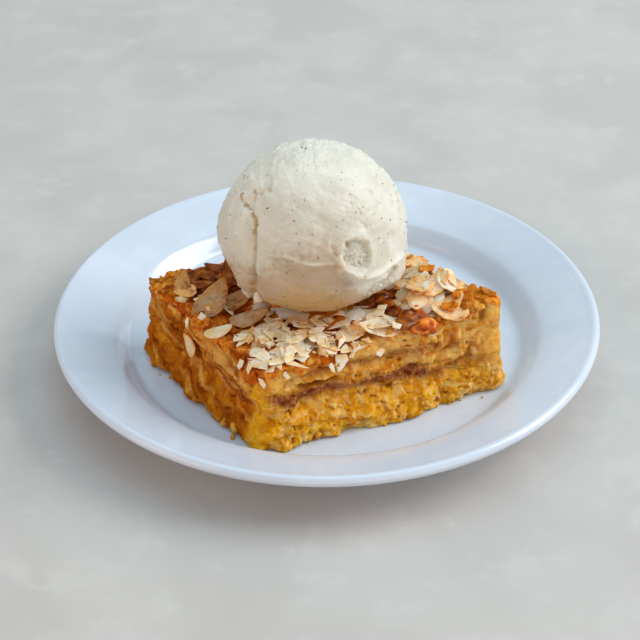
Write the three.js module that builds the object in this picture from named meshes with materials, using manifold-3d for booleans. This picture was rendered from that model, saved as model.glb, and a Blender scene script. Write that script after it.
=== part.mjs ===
// A slice of almond bread pudding under a ball of vanilla ice cream, on a rimmed porcelain plate.
// Millimetres, +Z up. The origin is the centre of the plate's foot, on the table. -Y is the diner's side.
import * as THREE from "three";
import { mergeVertices } from "three/addons/utils/BufferGeometryUtils.js";
import Module from "manifold-3d";

const wasm = await Module();
wasm.setup();

// ---- driving dimensions ----

const GAP = 0.35; // clear air kept between pieces that rest on each other

// The plate: 21 cm across, with a wide gently rising rim and a shallow well.
const PLATE_RADIUS = 105;
const PLATE_HEIGHT = 22;
const PLATE_SEGMENTS = 72;
const FLOOR_TOP = 7; // the well's floor, above the table
const FLOOR_THICK = 4.5;
const WELL_RADIUS = 75; // where the floor turns up
const WALL_RADIUS = 82; // where the wall turns out into the rim
const WALL_TOP = 15.2;
const FOOT_RADIUS = 60;
const FOOT_WIDTH = 3;

// The slice: a hand-cut square, narrower at the back. Corners are its base on the plate.
const FRONT_CORNER = new THREE.Vector2(-23.5, -68.5);
const RIGHT_CORNER = new THREE.Vector2(66, -31);
const BACK_CORNER = new THREE.Vector2(9, 26);
const LEFT_CORNER = new THREE.Vector2(-70, -3);
const FRONT_HEIGHT = 31; // the slice's height over the well's floor at each corner
const RIGHT_HEIGHT = 36.5;
const BACK_HEIGHT = 35.5;
const LEFT_HEIGHT = 31.3;
const CORNER_SOFTNESS = 4.5; // length of edge that each corner is rounded over
const FLARE = 1.6; // how far the sides lean out from top to base
const CRAG = 1.5; // relief of the torn bread on the cut sides
const CRUST_BUMP = 1.3; // relief of the baked top
const CURL_PLACE = new THREE.Vector2(59.5, -29); // the crust's lifted, browned tip at the right corner
const CURL_RISE = 3.6;
const CURL_SPREAD = 8;

// The slice's layers, as heights over the well's floor.
const SEAM_BASE = 17.5; // custard-soaked bread below, cinnamon-brown seam above
const SEAM_TOP = 21;
const SEAM_WAVE = 0.8;
const SEAM_DIP_RIGHT = 6; // how far the seam sinks towards the right and the left corner
const SEAM_DIP_LEFT = 3;
const SEAM_RECESS = 0.9; // the soft seam sits back from the bread on both sides of it
const EDGE_STEPS = 72; // points round a layer
const CRUMB_COUNT = 9; // crumbs that cling to the foot of the two front sides
const CRUMB_RADIUS = 1.6;

// The scoop: a ball from a 68 mm scoop, with a flatter underside.
const SCOOP_RADIUS = 33.8;
const SCOOP_CENTRE = new THREE.Vector3(-4.3, -17, 65.9);
const SCOOP_UNDERSIDE = 26.4; // depth of the lower half
const SEAT_HEIGHT = 41; // the crust under the ball, over the table
const SEAT_RADIUS = 16;
const SCOOP_AROUND = 48;
const SCOOP_RINGS = 22;

// Flaked almonds: thin slices of the nut, baked on to the crust.
const FLAKE_COUNT = 52;
const FLAKE_SPACING = 6.6; // between the middles of scattered flakes
const FLAKE_LENGTH = 14;
const FLAKE_WIDTH = 8.2;
const FLAKE_THICK = 1.3;
const FLAKE_SIDES = 8;
const FLAKE_SINK = 0.45; // how deep a flake sits in the crust

const COLOURS = {
  porcelain: 0xe9edf2,
  custard_bread: 0xcf9636,
  cinnamon_seam: 0x9a6a3f,
  crust_bread: 0xcf9550,
  vanilla_ice: 0xf1e8d0,
};

// ---- small tools ----

const lerp = THREE.MathUtils.lerp;
const smoothstep = THREE.MathUtils.smoothstep;
const degrees = THREE.MathUtils.degToRad;

// A repeatable number from 0 to 1 for a lattice point.
function lattice(i, j, k) {
  const n = Math.sin(i * 127.1 + j * 311.7 + k * 74.7) * 43758.5453;
  return n - Math.floor(n);
}

// Smooth noise from -1 to 1.
function noise(x, y, z) {
  const i = Math.floor(x);
  const j = Math.floor(y);
  const k = Math.floor(z);
  const ease = (t) => t * t * (3 - 2 * t);
  const u = ease(x - i);
  const v = ease(y - j);
  const w = ease(z - k);
  const plane = (kk) =>
    lerp(
      lerp(lattice(i, j, kk), lattice(i + 1, j, kk), u),
      lerp(lattice(i, j + 1, kk), lattice(i + 1, j + 1, kk), u),
      v,
    );
  return 2 * lerp(plane(k), plane(k + 1), w) - 1;
}

// Joins rings of points, from a bottom pole to a top pole, into one closed body.
function loft(rings) {
  const around = rings[1].length;
  const last = rings.length - 1;
  const positions = [];
  const starts = rings.map((ring) => {
    const start = positions.length / 3;
    ring.forEach((p) => positions.push(p.x, p.y, p.z));
    return start;
  });
  const faces = [];
  for (let r = 0; r < last; r++) {
    for (let s = 0; s < around; s++) {
      const next = (s + 1) % around;
      const low = starts[r];
      const high = starts[r + 1];
      if (r === 0) {
        faces.push(low, high + next, high + s);
      } else if (r === last - 1) {
        faces.push(high, low + s, low + next);
      } else if ((r + s) % 2) {
        faces.push(low + s, low + next, high + next, low + s, high + next, high + s);
      } else {
        faces.push(low + s, low + next, high + s, low + next, high + next, high + s);
      }
    }
  }
  const geometry = new THREE.BufferGeometry();
  geometry.setAttribute("position", new THREE.Float32BufferAttribute(positions, 3));
  geometry.setIndex(faces);
  return geometry;
}

// A three.js geometry as a manifold-3d solid.
function toSolid(geometry) {
  const bare = new THREE.BufferGeometry();
  bare.setAttribute("position", geometry.getAttribute("position"));
  bare.setIndex(geometry.index);
  const merged = mergeVertices(bare, 1e-4);
  return new wasm.Manifold(
    new wasm.Mesh({
      numProp: 3,
      vertProperties: merged.attributes.position.array,
      triVerts: new Uint32Array(merged.index.array),
    }),
  );
}

// A manifold-3d solid as a three.js geometry.
function toGeometry(solid) {
  const mesh = solid.getMesh();
  const geometry = new THREE.BufferGeometry();
  geometry.setAttribute("position", new THREE.Float32BufferAttribute(mesh.vertProperties, 3));
  geometry.setIndex(new THREE.BufferAttribute(mesh.triVerts, 1));
  geometry.computeVertexNormals();
  return geometry;
}

function piece(name, geometry, colour, roughness) {
  const material = new THREE.MeshStandardMaterial({ color: colour, roughness, metalness: 0 });
  const mesh = new THREE.Mesh(geometry, material);
  mesh.name = name;
  return mesh;
}

// ---- the plate ----

function makePlate() {
  const under = FLOOR_TOP - FLOOR_THICK;
  const lip = 2; // radius of the rounded lip
  const profile = [
    [0, under],
    [FOOT_RADIUS - FOOT_WIDTH - 1.5, under],
    [FOOT_RADIUS - FOOT_WIDTH, 0],
    [FOOT_RADIUS, 0],
    [FOOT_RADIUS + 1.5, under - 0.4],
    [WELL_RADIUS + 1, under + 1.4],
    [WALL_RADIUS + 1.5, WALL_TOP - 4.6],
    [PLATE_RADIUS - 8, PLATE_HEIGHT - 6],
    [PLATE_RADIUS - 1.2, PLATE_HEIGHT - 4],
    [PLATE_RADIUS, PLATE_HEIGHT - lip],
    [PLATE_RADIUS - 0.8, PLATE_HEIGHT - 0.5],
    [PLATE_RADIUS - lip, PLATE_HEIGHT],
    [PLATE_RADIUS - 2.4 * lip, PLATE_HEIGHT - 0.9],
    [PLATE_RADIUS - 12, PLATE_HEIGHT - 3.3],
    [WALL_RADIUS + 3, WALL_TOP + 0.6],
    [WALL_RADIUS, WALL_TOP - 1],
    [WALL_RADIUS - 3, WALL_TOP - 4.2],
    [WELL_RADIUS + 1.8, FLOOR_TOP + 1.3],
    [WELL_RADIUS, FLOOR_TOP + 0.2],
    [WELL_RADIUS - 3, FLOOR_TOP],
    [0, FLOOR_TOP],
  ];
  const points = profile.map(([r, z]) => new THREE.Vector2(r, z));
  const turned = new THREE.LatheGeometry(points, PLATE_SEGMENTS);
  turned.rotateX(Math.PI / 2); // the lathe turns about Y, and the plate's axis is Z
  return piece("plate", turned, COLOURS.porcelain, 0.15);
}

// ---- the slice ----

const CORNERS = [FRONT_CORNER, RIGHT_CORNER, BACK_CORNER, LEFT_CORNER];
const CORNER_HEIGHTS = [FRONT_HEIGHT, RIGHT_HEIGHT, BACK_HEIGHT, LEFT_HEIGHT];
const EDGE_LENGTHS = CORNERS.map((corner, n) => corner.distanceTo(CORNERS[(n + 1) % 4]));
const PERIMETER = EDGE_LENGTHS.reduce((sum, length) => sum + length, 0);
const MIDDLE = CORNERS.reduce((sum, corner) => sum.add(corner), new THREE.Vector2()).divideScalar(4);

// The sharp-cornered outline at a distance along it.
function sharpOutline(distance) {
  let along = ((distance % PERIMETER) + PERIMETER) % PERIMETER;
  let edge = 0;
  while (along > EDGE_LENGTHS[edge] && edge < 3) {
    along -= EDGE_LENGTHS[edge];
    edge += 1;
  }
  return CORNERS[edge].clone().lerp(CORNERS[(edge + 1) % 4], along / EDGE_LENGTHS[edge]);
}

// The outline with soft corners: the mean of the sharp one over a short stretch.
function outline(distance) {
  const samples = 9;
  const sum = new THREE.Vector2();
  for (let n = 0; n < samples; n++) {
    const offset = (n / (samples - 1) - 0.5) * 2 * CORNER_SOFTNESS;
    sum.add(sharpOutline(distance + offset));
  }
  return sum.divideScalar(samples);
}

function outwards(distance) {
  const ahead = outline(distance + 1).sub(outline(distance - 1));
  return new THREE.Vector2(ahead.y, -ahead.x).normalize();
}

// The slice's height over the floor: the mean of the corner heights, each weighted by its nearness.
function sliceHeight(x, y) {
  const at = new THREE.Vector2(x, y);
  const blend = 400; // square millimetres, keeps a corner from standing up on its own
  const inverse = CORNERS.map((corner) => 1 / (at.distanceToSquared(corner) + blend));
  const total = inverse.reduce((sum, value) => sum + value, 0);
  const mean = inverse.reduce((sum, value, n) => sum + value * CORNER_HEIGHTS[n], 0);
  return mean / total;
}

// The top of the baked crust, over the table. It is level where the ball sits.
function crustTop(x, y) {
  const bumps = noise(x / 9, y / 9, 4.2) + 0.5 * noise(x / 4, y / 4, 9.7);
  const fromCurl = Math.hypot(x - CURL_PLACE.x, y - CURL_PLACE.y) / CURL_SPREAD;
  const curl = CURL_RISE * Math.exp(-(fromCurl ** 2));
  const baked = FLOOR_TOP + sliceHeight(x, y) + CRUST_BUMP * bumps + curl;
  const fromBall = Math.hypot(x - SCOOP_CENTRE.x, y - SCOOP_CENTRE.y);
  return lerp(SEAT_HEIGHT, baked, smoothstep(fromBall, SEAT_RADIUS, SEAT_RADIUS + 7));
}

function seamHeight(x, y, level) {
  const right = SEAM_DIP_RIGHT * smoothstep(x, 5, RIGHT_CORNER.x);
  const left = SEAM_DIP_LEFT * smoothstep(-x, -FRONT_CORNER.x, -LEFT_CORNER.x);
  return FLOOR_TOP + level - right - left + SEAM_WAVE * noise(x / 30, y / 30, level);
}

// Torn bread on the sides: soft lumps, drawn out along the layers.
function crag(x, y, z) {
  const lumps = noise(x / 7, y / 7, z / 4.5 + 3) + 0.6 * noise(x / 3.4, y / 3.4, z / 2.6 + 3);
  return CRAG * lumps;
}

// A ring of the slice at a share of its outline. Share 1 is the edge.
function innerRing(share, heightAt) {
  const ring = [];
  for (let n = 0; n < EDGE_STEPS; n++) {
    const p = outline((n * PERIMETER) / EDGE_STEPS);
    const at = MIDDLE.clone().lerp(p, share);
    ring.push(new THREE.Vector3(at.x, at.y, heightAt(at.x, at.y)));
  }
  return ring;
}

// A ring on the slice's side, at a share of the way from bottomAt to topAt.
function sideRing(rise, bottomAt, topAt, recess) {
  const ring = [];
  for (let n = 0; n < EDGE_STEPS; n++) {
    const distance = (n * PERIMETER) / EDGE_STEPS;
    const p = outline(distance);
    const z = lerp(bottomAt(p.x, p.y), topAt(p.x, p.y), rise);
    const lean = FLARE * (1 - (z - FLOOR_TOP) / RIGHT_HEIGHT) - FLARE / 2;
    const out = lean - recess + crag(p.x, p.y, z);
    const at = p.addScaledVector(outwards(distance), out);
    ring.push(new THREE.Vector3(at.x, at.y, z));
  }
  return ring;
}

// One layer of the slice, between two height functions.
function layer(bottomAt, topAt, { sides, shares, recess }) {
  const pole = (heightAt) => [new THREE.Vector3(MIDDLE.x, MIDDLE.y, heightAt(MIDDLE.x, MIDDLE.y))];
  const rings = [pole(bottomAt)];
  [0.45, 0.92].forEach((share) => rings.push(innerRing(share, bottomAt)));
  sides.forEach((rise) => rings.push(sideRing(rise, bottomAt, topAt, recess)));
  shares.forEach((share) => rings.push(innerRing(share, topAt)));
  rings.push(pole(topAt));
  return loft(rings);
}

const sliceBase = () => FLOOR_TOP + GAP;
const seamBase = (x, y) => seamHeight(x, y, SEAM_BASE);
const seamTop = (x, y) => seamHeight(x, y, SEAM_TOP);

// A crumb of custard bread at the foot of a side, some way round the outline.
function makeCrumb(n) {
  const front = PERIMETER - 0.35 * EDGE_LENGTHS[3]; // starts a little way up the left side
  const run = 0.35 * EDGE_LENGTHS[3] + 0.8 * EDGE_LENGTHS[0];
  const distance = front + (run * (n + 0.8 * lattice(n, 2, 5))) / CRUMB_COUNT;
  const radius = CRUMB_RADIUS * (0.8 + 0.5 * lattice(n, 7, 1));
  const at = outline(distance).addScaledVector(outwards(distance), 0.3 * radius);
  const crumb = new THREE.IcosahedronGeometry(radius, 1);
  crumb.translate(at.x, at.y, FLOOR_TOP + GAP + 1.1 * radius);
  return toSolid(mergeVertices(crumb));
}

function makeLowerBread() {
  const body = layer(sliceBase, (x, y) => seamBase(x, y) - GAP / 2, {
    sides: [0, 0.2, 0.42, 0.64, 0.84, 1],
    shares: [0.92, 0.45],
    recess: 0,
  });
  let solid = toSolid(body);
  for (let n = 0; n < CRUMB_COUNT; n++) solid = solid.add(makeCrumb(n));
  return piece("lower_bread", toGeometry(solid), COLOURS.custard_bread, 0.5);
}

function makeSeam() {
  const geometry = layer(
    (x, y) => seamBase(x, y) + GAP / 2,
    (x, y) => seamTop(x, y) - GAP / 2,
    { sides: [0, 0.5, 1], shares: [0.92, 0.45], recess: SEAM_RECESS },
  );
  return piece("cinnamon_seam", geometry, COLOURS.cinnamon_seam, 0.5);
}

// ---- flaked almonds ----

// An almond slice lying in the XY plane: pointed at one end, a little dished.
function flakeShape(length, width, dish) {
  const rim = [];
  for (let n = 0; n < FLAKE_SIDES; n++) {
    const angle = (n * 2 * Math.PI) / FLAKE_SIDES;
    const point = 1 - 0.34 * Math.cos(angle); // narrower towards +X
    const x = (length / 2) * Math.cos(angle);
    const y = (width / 2) * Math.sin(angle) * point;
    rim.push(new THREE.Vector3(x, y, dish * (x / length) ** 2 * 4));
  }
  const lift = (height) => rim.map((p) => new THREE.Vector3(p.x, p.y, p.z + height));
  const centre = (height) => [new THREE.Vector3(0, 0, height)];
  const half = FLAKE_THICK / 2;
  return loft([centre(-half), lift(-half), lift(half), centre(half)]);
}

// The flakes that catch the eye: place on the slice, heading and tilt in degrees, length.
const SHOW_FLAKES = [
  { x: -42, y: -25, heading: 55, tilt: 27, length: 19 },
  { x: -53, y: -12, heading: 76, tilt: 40, length: 12 },
  { x: -33, y: -22, heading: 38, tilt: 12, length: 15 },
  { x: -28, y: -34, heading: 14, tilt: 15, length: 15 },
  { x: -39, y: -43, heading: 20, tilt: 10, length: 11 },
  { x: -21, y: -39, heading: 30, tilt: 10, length: 12 },
  { x: -16, y: -45, heading: 160, tilt: 12, length: 12 },
  { x: 1, y: -42, heading: 100, tilt: 14, length: 11 },
  { x: 9, y: -47, heading: 15, tilt: 12, length: 13 },
  { x: 20, y: -34, heading: 150, tilt: 16, length: 17 },
  { x: 28, y: -24, heading: 160, tilt: 14, length: 17 },
  { x: 38, y: -23, heading: 140, tilt: 14, length: 15 },
  { x: 45, y: -18, heading: 150, tilt: 14, length: 15 },
  { x: 45, y: -33, heading: 40, tilt: 22, length: 13 },
  { x: 36, y: -34, heading: 172, tilt: 18, length: 14 },
  { x: 33, y: -42, heading: 100, tilt: 30, length: 12 },
  { x: 34, y: -5, heading: 130, tilt: 12, length: 13 },
];

// Places for the other flakes, spread over the crust and away from its edge.
function scatteredFlakes() {
  const places = [];
  for (let n = 0; places.length < FLAKE_COUNT && n < 900; n++) {
    const draw = (k) => lattice(n, k, 17.3);
    const share = 0.88 * Math.sqrt(draw(1));
    const edge = outline(draw(2) * PERIMETER);
    const at = MIDDLE.clone().lerp(edge, share);
    const taken = [...SHOW_FLAKES, ...places];
    const near = taken.some((q) => Math.hypot(q.x - at.x, q.y - at.y) < FLAKE_SPACING);
    if (!near) {
      const length = FLAKE_LENGTH * (0.6 + 0.4 * draw(5));
      places.push({ x: at.x, y: at.y, heading: 360 * draw(3), tilt: 16 * draw(4), length });
    }
  }
  return places;
}

// Stands a flake on the crust, sunk a little into it.
function placeFlake({ x, y, heading, tilt, length }) {
  const shape = flakeShape(length, (length * FLAKE_WIDTH) / FLAKE_LENGTH, 0.08 * length);
  const lean = degrees(tilt);
  const rise = Math.sin(lean) * length * 0.3 - FLAKE_SINK + FLAKE_THICK / 2;
  shape.rotateY(-lean);
  shape.rotateZ(degrees(heading));
  shape.translate(x, y, crustTop(x, y) + rise);
  return shape;
}

// True if a flake stays clear of the ball.
function clearOfBall(shape) {
  const at = new THREE.Vector3();
  const position = shape.getAttribute("position");
  for (let n = 0; n < position.count; n++) {
    at.fromBufferAttribute(position, n).sub(SCOOP_CENTRE);
    at.z *= SCOOP_RADIUS / SCOOP_UNDERSIDE;
    const overSeat = Math.hypot(at.x, at.y) < SEAT_RADIUS + 3;
    if (at.length() < SCOOP_RADIUS + 2 || overSeat) return false;
  }
  return true;
}

function makeUpperBread() {
  const body = layer((x, y) => seamTop(x, y) + GAP / 2, crustTop, {
    sides: [0, 0.28, 0.55, 0.8, 0.96],
    shares: [0.95, 0.85, 0.72, 0.58, 0.42, 0.24],
    recess: 0,
  });
  let solid = toSolid(body);
  [...SHOW_FLAKES, ...scatteredFlakes()]
    .map(placeFlake)
    .filter(clearOfBall)
    .forEach((shape) => {
      solid = solid.add(toSolid(shape));
    });
  // A flake that touches nothing would be loose: only the slice itself is kept.
  const [slice] = solid.decompose().sort((a, b) => b.volume() - a.volume());
  return piece("upper_bread", toGeometry(slice), COLOURS.crust_bread, 0.6);
}

// ---- the ball of ice cream ----

// A direction from the ball's centre. Turn 0 faces the diner, positive to the right.
function towards(turn, lift) {
  const a = degrees(turn);
  const b = degrees(lift);
  return new THREE.Vector3(Math.sin(a) * Math.cos(b), -Math.cos(a) * Math.cos(b), Math.sin(b));
}

const nearness = (direction, centre, spread) =>
  Math.exp(-((direction.angleTo(centre) / degrees(spread)) ** 2));

// How far the surface stands off the plain ball, in millimetres.
function scoopRelief(direction) {
  const turn = THREE.MathUtils.radToDeg(Math.atan2(direction.x, -direction.y));
  const lift = THREE.MathUtils.radToDeg(Math.asin(direction.z));
  // A furrow down the left side, where the curl of ice cream closed on itself.
  const furrowTurn = -41 - 0.012 * Math.max(0, lift - 5) ** 2;
  const low = smoothstep(lift, -60, -20) * (1 - smoothstep(lift, 34, 50));
  const furrow = -2.2 * low * Math.exp(-(((turn - furrowTurn) / 5) ** 2));
  // The lobe beyond the furrow bulges, and the crater is a torn pit with a soft lip below it.
  const lobe = 1.3 * nearness(direction, towards(-80, 5), 32);
  const crater = -2.6 * nearness(direction, towards(28, 15), 8);
  const lip = 1.6 * nearness(direction, towards(30, 0), 13);
  // The skirt that the scoop's edge dragged out low on the right and at the left foot.
  const skirt = 3 * nearness(direction, towards(72, -17), 15);
  const foot = 1.8 * nearness(direction, towards(-52, -32), 12);
  const rough = 0.5 * noise(direction.x * 6, direction.y * 6, direction.z * 6 + 2);
  return furrow + lobe + crater + lip + skirt + foot + rough;
}

function scoopPoint(turn, lift) {
  const direction = towards(turn, lift);
  const relief = scoopRelief(direction);
  const point = direction.clone().multiplyScalar(SCOOP_RADIUS + relief);
  if (point.z < 0) point.z *= SCOOP_UNDERSIDE / SCOOP_RADIUS;
  point.add(SCOOP_CENTRE);
  point.z = Math.max(point.z, SEAT_HEIGHT + GAP);
  return point;
}

function makeScoop() {
  const seatDrop = (SCOOP_CENTRE.z - SEAT_HEIGHT) / SCOOP_UNDERSIDE;
  const lowest = THREE.MathUtils.radToDeg(-Math.asin(Math.min(seatDrop, 0.97)));
  const seat = new THREE.Vector3(SCOOP_CENTRE.x, SCOOP_CENTRE.y, SEAT_HEIGHT + GAP);
  const rings = [[seat]];
  for (let r = 0; r < SCOOP_RINGS; r++) {
    const lift = lerp(lowest, 86, r / (SCOOP_RINGS - 1));
    const ring = [];
    for (let n = 0; n < SCOOP_AROUND; n++) ring.push(scoopPoint((n * 360) / SCOOP_AROUND, lift));
    rings.push(ring);
  }
  rings.push([scoopPoint(0, 90)]);
  return piece("ice_cream", loft(rings), COLOURS.vanilla_ice, 0.45);
}

// ---- the dish ----

const dish = new THREE.Group();
dish.add(makePlate(), makeLowerBread(), makeSeam(), makeUpperBread(), makeScoop());

export default dish;
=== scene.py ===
# %% [markdown]
# # Almond bread pudding with vanilla ice cream, on its plate
# This lesson dresses a imported model of a dessert: a hand-cut slice of bread pudding under flaked almonds, one
# ball of vanilla ice cream, and the porcelain plate that carries them. The imported model gives every piece its
# place and size. Blender then makes what a plain solid can't show: torn crumb, browned crust, thin almond
# flakes, furrows and specks in the ice cream, and the shine of glaze.
#
# The first cell loads the imported model as a fixed frame.

import math

import bpy
import numpy as np
from mathutils import Matrix, Vector


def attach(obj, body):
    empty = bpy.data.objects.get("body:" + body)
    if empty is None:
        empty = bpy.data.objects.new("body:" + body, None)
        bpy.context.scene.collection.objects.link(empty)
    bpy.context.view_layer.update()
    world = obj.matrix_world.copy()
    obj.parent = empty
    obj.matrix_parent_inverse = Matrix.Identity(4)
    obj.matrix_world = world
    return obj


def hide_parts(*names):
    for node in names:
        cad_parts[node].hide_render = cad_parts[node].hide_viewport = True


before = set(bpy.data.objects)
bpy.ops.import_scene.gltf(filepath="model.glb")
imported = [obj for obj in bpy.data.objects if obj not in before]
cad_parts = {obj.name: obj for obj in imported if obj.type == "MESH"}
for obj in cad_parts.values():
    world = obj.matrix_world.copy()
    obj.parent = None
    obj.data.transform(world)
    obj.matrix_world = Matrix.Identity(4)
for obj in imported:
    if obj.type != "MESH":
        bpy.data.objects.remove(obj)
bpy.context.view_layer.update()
MM = 0.001  # the shapes below are worked out in millimetres, and Blender's unit is the metre
print("nodes in the frame:", sorted(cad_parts))

# %% [markdown]
# ## Camera
# A dessert is usually shown from a seated diner's eye: about 34 degrees down, from 65 centimetres away,
# through a fairly long lens so that the near rim of the plate doesn't swell. A camera can be aimed with a
# constraint, but a plain matrix says exactly where it stands and is easy to repeat: turn about X for the look
# down, then a touch about its own axis for a hand-held lean.


# %% Camera
CAMERA_PLACE = Vector((-2.59, -531.35, 374.88)) * MM
LOOK_DOWN = math.radians(34.05)
LEAN = math.radians(-0.68)
FIELD_OF_VIEW = math.radians(22)

lens = bpy.data.cameras.new("diners_eye")
lens.sensor_fit = "HORIZONTAL"
lens.angle = FIELD_OF_VIEW
camera = bpy.data.objects.new("diners_eye", lens)
turned = Matrix.Rotation(math.pi / 2 - LOOK_DOWN, 4, "X") @ Matrix.Rotation(LEAN, 4, "Z")
camera.matrix_world = Matrix.Translation(CAMERA_PLACE) @ turned
bpy.context.scene.collection.objects.link(camera)
bpy.context.scene.camera = camera
print("the camera looks down at", round(math.degrees(LOOK_DOWN), 1), "degrees")

# %% [markdown]
# ## Light and floor
# The dish stands in a bright daylight room with one broad window high up on its right. Four area lamps make
# that light. The window shapes the ball, throws the shadow of the slice on to the left of the plate and puts
# small highlights on wet crumb and caramel. The ceiling is bluish, the room at the front left is warm, and a
# low lamp in front stands for the warm light that the table gives back. The world fills the rest. A sun lamp
# would be simpler, but its hard shadow edges don't suit soft food. The floor is a plain pale plane just under
# the foot of the plate.


# %% Light and floor
def tone(code):
    """A colour from six hex digits, as the straight-line values that shaders use."""
    parts = [int(code[n : n + 2], 16) / 255 for n in (0, 2, 4)]
    linear = [p / 12.92 if p <= 0.04045 else ((p + 0.055) / 1.055) ** 2.4 for p in parts]
    return (*linear, 1.0)


def lamp(name, place, aim, width, height, power, colour):
    """A rectangular area lamp that faces a point. Its places and sizes are in metres."""
    data = bpy.data.lights.new(name, "AREA")
    data.shape = "RECTANGLE"
    data.size = width
    data.size_y = height
    data.energy = power
    data.color = tone(colour)[:3]
    made = bpy.data.objects.new(name, data)
    towards_aim = Vector(aim) - Vector(place)
    made.matrix_world = Matrix.Translation(place) @ towards_aim.to_track_quat("-Z", "Y").to_matrix().to_4x4()
    bpy.context.scene.collection.objects.link(made)


PLATE_MIDDLE = (0, 0, 0.03)
lamp("window", (1.60, 0.15, 1.15), aim=PLATE_MIDDLE, width=1.2, height=1.2, power=24.5, colour="fffefd")
lamp("ceiling", (0.0, 0.15, 1.30), aim=(0, 0, 0), width=1.1, height=1.1, power=4.4, colour="a8e6ff")
lamp("warm_side", (-1.25, -0.7, 0.6), aim=PLATE_MIDDLE, width=0.9, height=0.8, power=3.8, colour="ffc9a2")
lamp("table_glow", (0.1, -1.3, 0.2), aim=PLATE_MIDDLE, width=1.6, height=0.35, power=2.0, colour="ffc69c")

bpy.context.scene.view_settings.view_transform = "Standard"  # colours show as they are written

room = bpy.data.worlds.new("room")
room.use_nodes = True
room.node_tree.nodes["Background"].inputs["Color"].default_value = tone("f8fcff")
room.node_tree.nodes["Background"].inputs["Strength"].default_value = 0.48
bpy.context.scene.world = room

floor_mesh = bpy.data.meshes.new("floor")
FLOOR_HALF = 3.0
FLOOR_DROP = 0.0002
corners = [(x * FLOOR_HALF, y * FLOOR_HALF, -FLOOR_DROP) for x, y in ((-1, -1), (1, -1), (1, 1), (-1, 1))]
floor_mesh.from_pydata(corners, [], [(0, 1, 2, 3)])
floor = bpy.data.objects.new("floor", floor_mesh)
bpy.context.scene.collection.objects.link(floor)
print("lamps:", len(bpy.data.lights))

# %% [markdown]
# ## Helpers for shader nodes
# A finish is a small graph of nodes. Wiring it by hand takes four lines a node, so `add` makes one node with
# its settings, and `wire` fills in sockets: with a number or a colour, or with a link where it is given
# another node's socket. `mixed` and `ramp` wrap the two nodes that every food finish needs: a blend of two
# colours, and a soft step from one value to another. `drift_over` is a noise that stays fixed to the food
# when it is moved.


# %% Helpers for shader nodes
def wire(tree, node, inputs):
    """Fills in a node's inputs. One that is given another node's socket is linked, any other value is set."""
    for name, value in inputs.items():
        if isinstance(value, bpy.types.NodeSocket):
            tree.links.new(value, node.inputs[name])
        else:
            node.inputs[name].default_value = value
    return node


def add(tree, kind, inputs=None, **settings):
    """One new shader node."""
    made = tree.nodes.new("ShaderNode" + kind)
    for name, value in settings.items():
        setattr(made, name, value)
    return wire(tree, made, inputs or {})


def mixed(tree, share, first, second, way="MIX"):
    """The colour between first and second."""
    blend = add(tree, "Mix", {0: share, 6: first, 7: second}, data_type="RGBA", blend_type=way)
    return blend.outputs[2]


def ramp(tree, value, low, high, start=0.0, end=1.0):
    """A soft step: start where value is below low, end where it is above high."""
    inputs = {"Value": value, "From Min": low, "From Max": high, "To Min": start, "To Max": end}
    return add(tree, "MapRange", inputs, interpolation_type="SMOOTHSTEP").outputs["Result"]


def maths(tree, operation, first, second=0.0):
    return add(tree, "Math", {0: first, 1: second}, operation=operation).outputs[0]


def per_metre(tree, size_mm):
    """The scale of a texture whose features have this size in millimetres."""
    return maths(tree, "DIVIDE", 1 / MM, size_mm)


def own_place(tree):
    """Each point's place in the object itself."""
    return add(tree, "TexCoord").outputs["Object"]


def drift_over(tree, scale, **inputs):
    """A noise from 0 to 1 over the object."""
    return add(tree, "TexNoise", {"Vector": own_place(tree), "Scale": scale, **inputs}).outputs[0]


def new_group(name, takes, gives):
    """An empty shader node group with named sockets, what comes into it, and the node for what it gives."""
    group = bpy.data.node_groups.new(name, "ShaderNodeTree")
    for title, kind, value in takes:
        socket = group.interface.new_socket(title, in_out="INPUT", socket_type="NodeSocket" + kind)
        socket.default_value = value
    for title, kind in gives:
        group.interface.new_socket(title, in_out="OUTPUT", socket_type="NodeSocket" + kind)
    entry = group.nodes.new("NodeGroupInput")
    leave = group.nodes.new("NodeGroupOutput")
    return group, entry.outputs, leave


def use_group(tree, group, inputs):
    """A group placed in a material with values of its own. Gives what comes out of it."""
    return add(tree, "Group", inputs, node_tree=group).outputs


def new_finish(name, **constants):
    """A material with one Principled shader. Its constants go straight on the shader's own sockets."""
    finish = bpy.data.materials.new(name)
    finish.use_nodes = True
    shader = finish.node_tree.nodes["Principled BSDF"]
    for title, value in constants.items():
        shader.inputs[title.replace("_", " ")].default_value = value
    return finish, finish.node_tree, shader


print("helpers for nodes:", [helper.__name__ for helper in (wire, add, mixed, ramp, maths, drift_over)])
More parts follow.
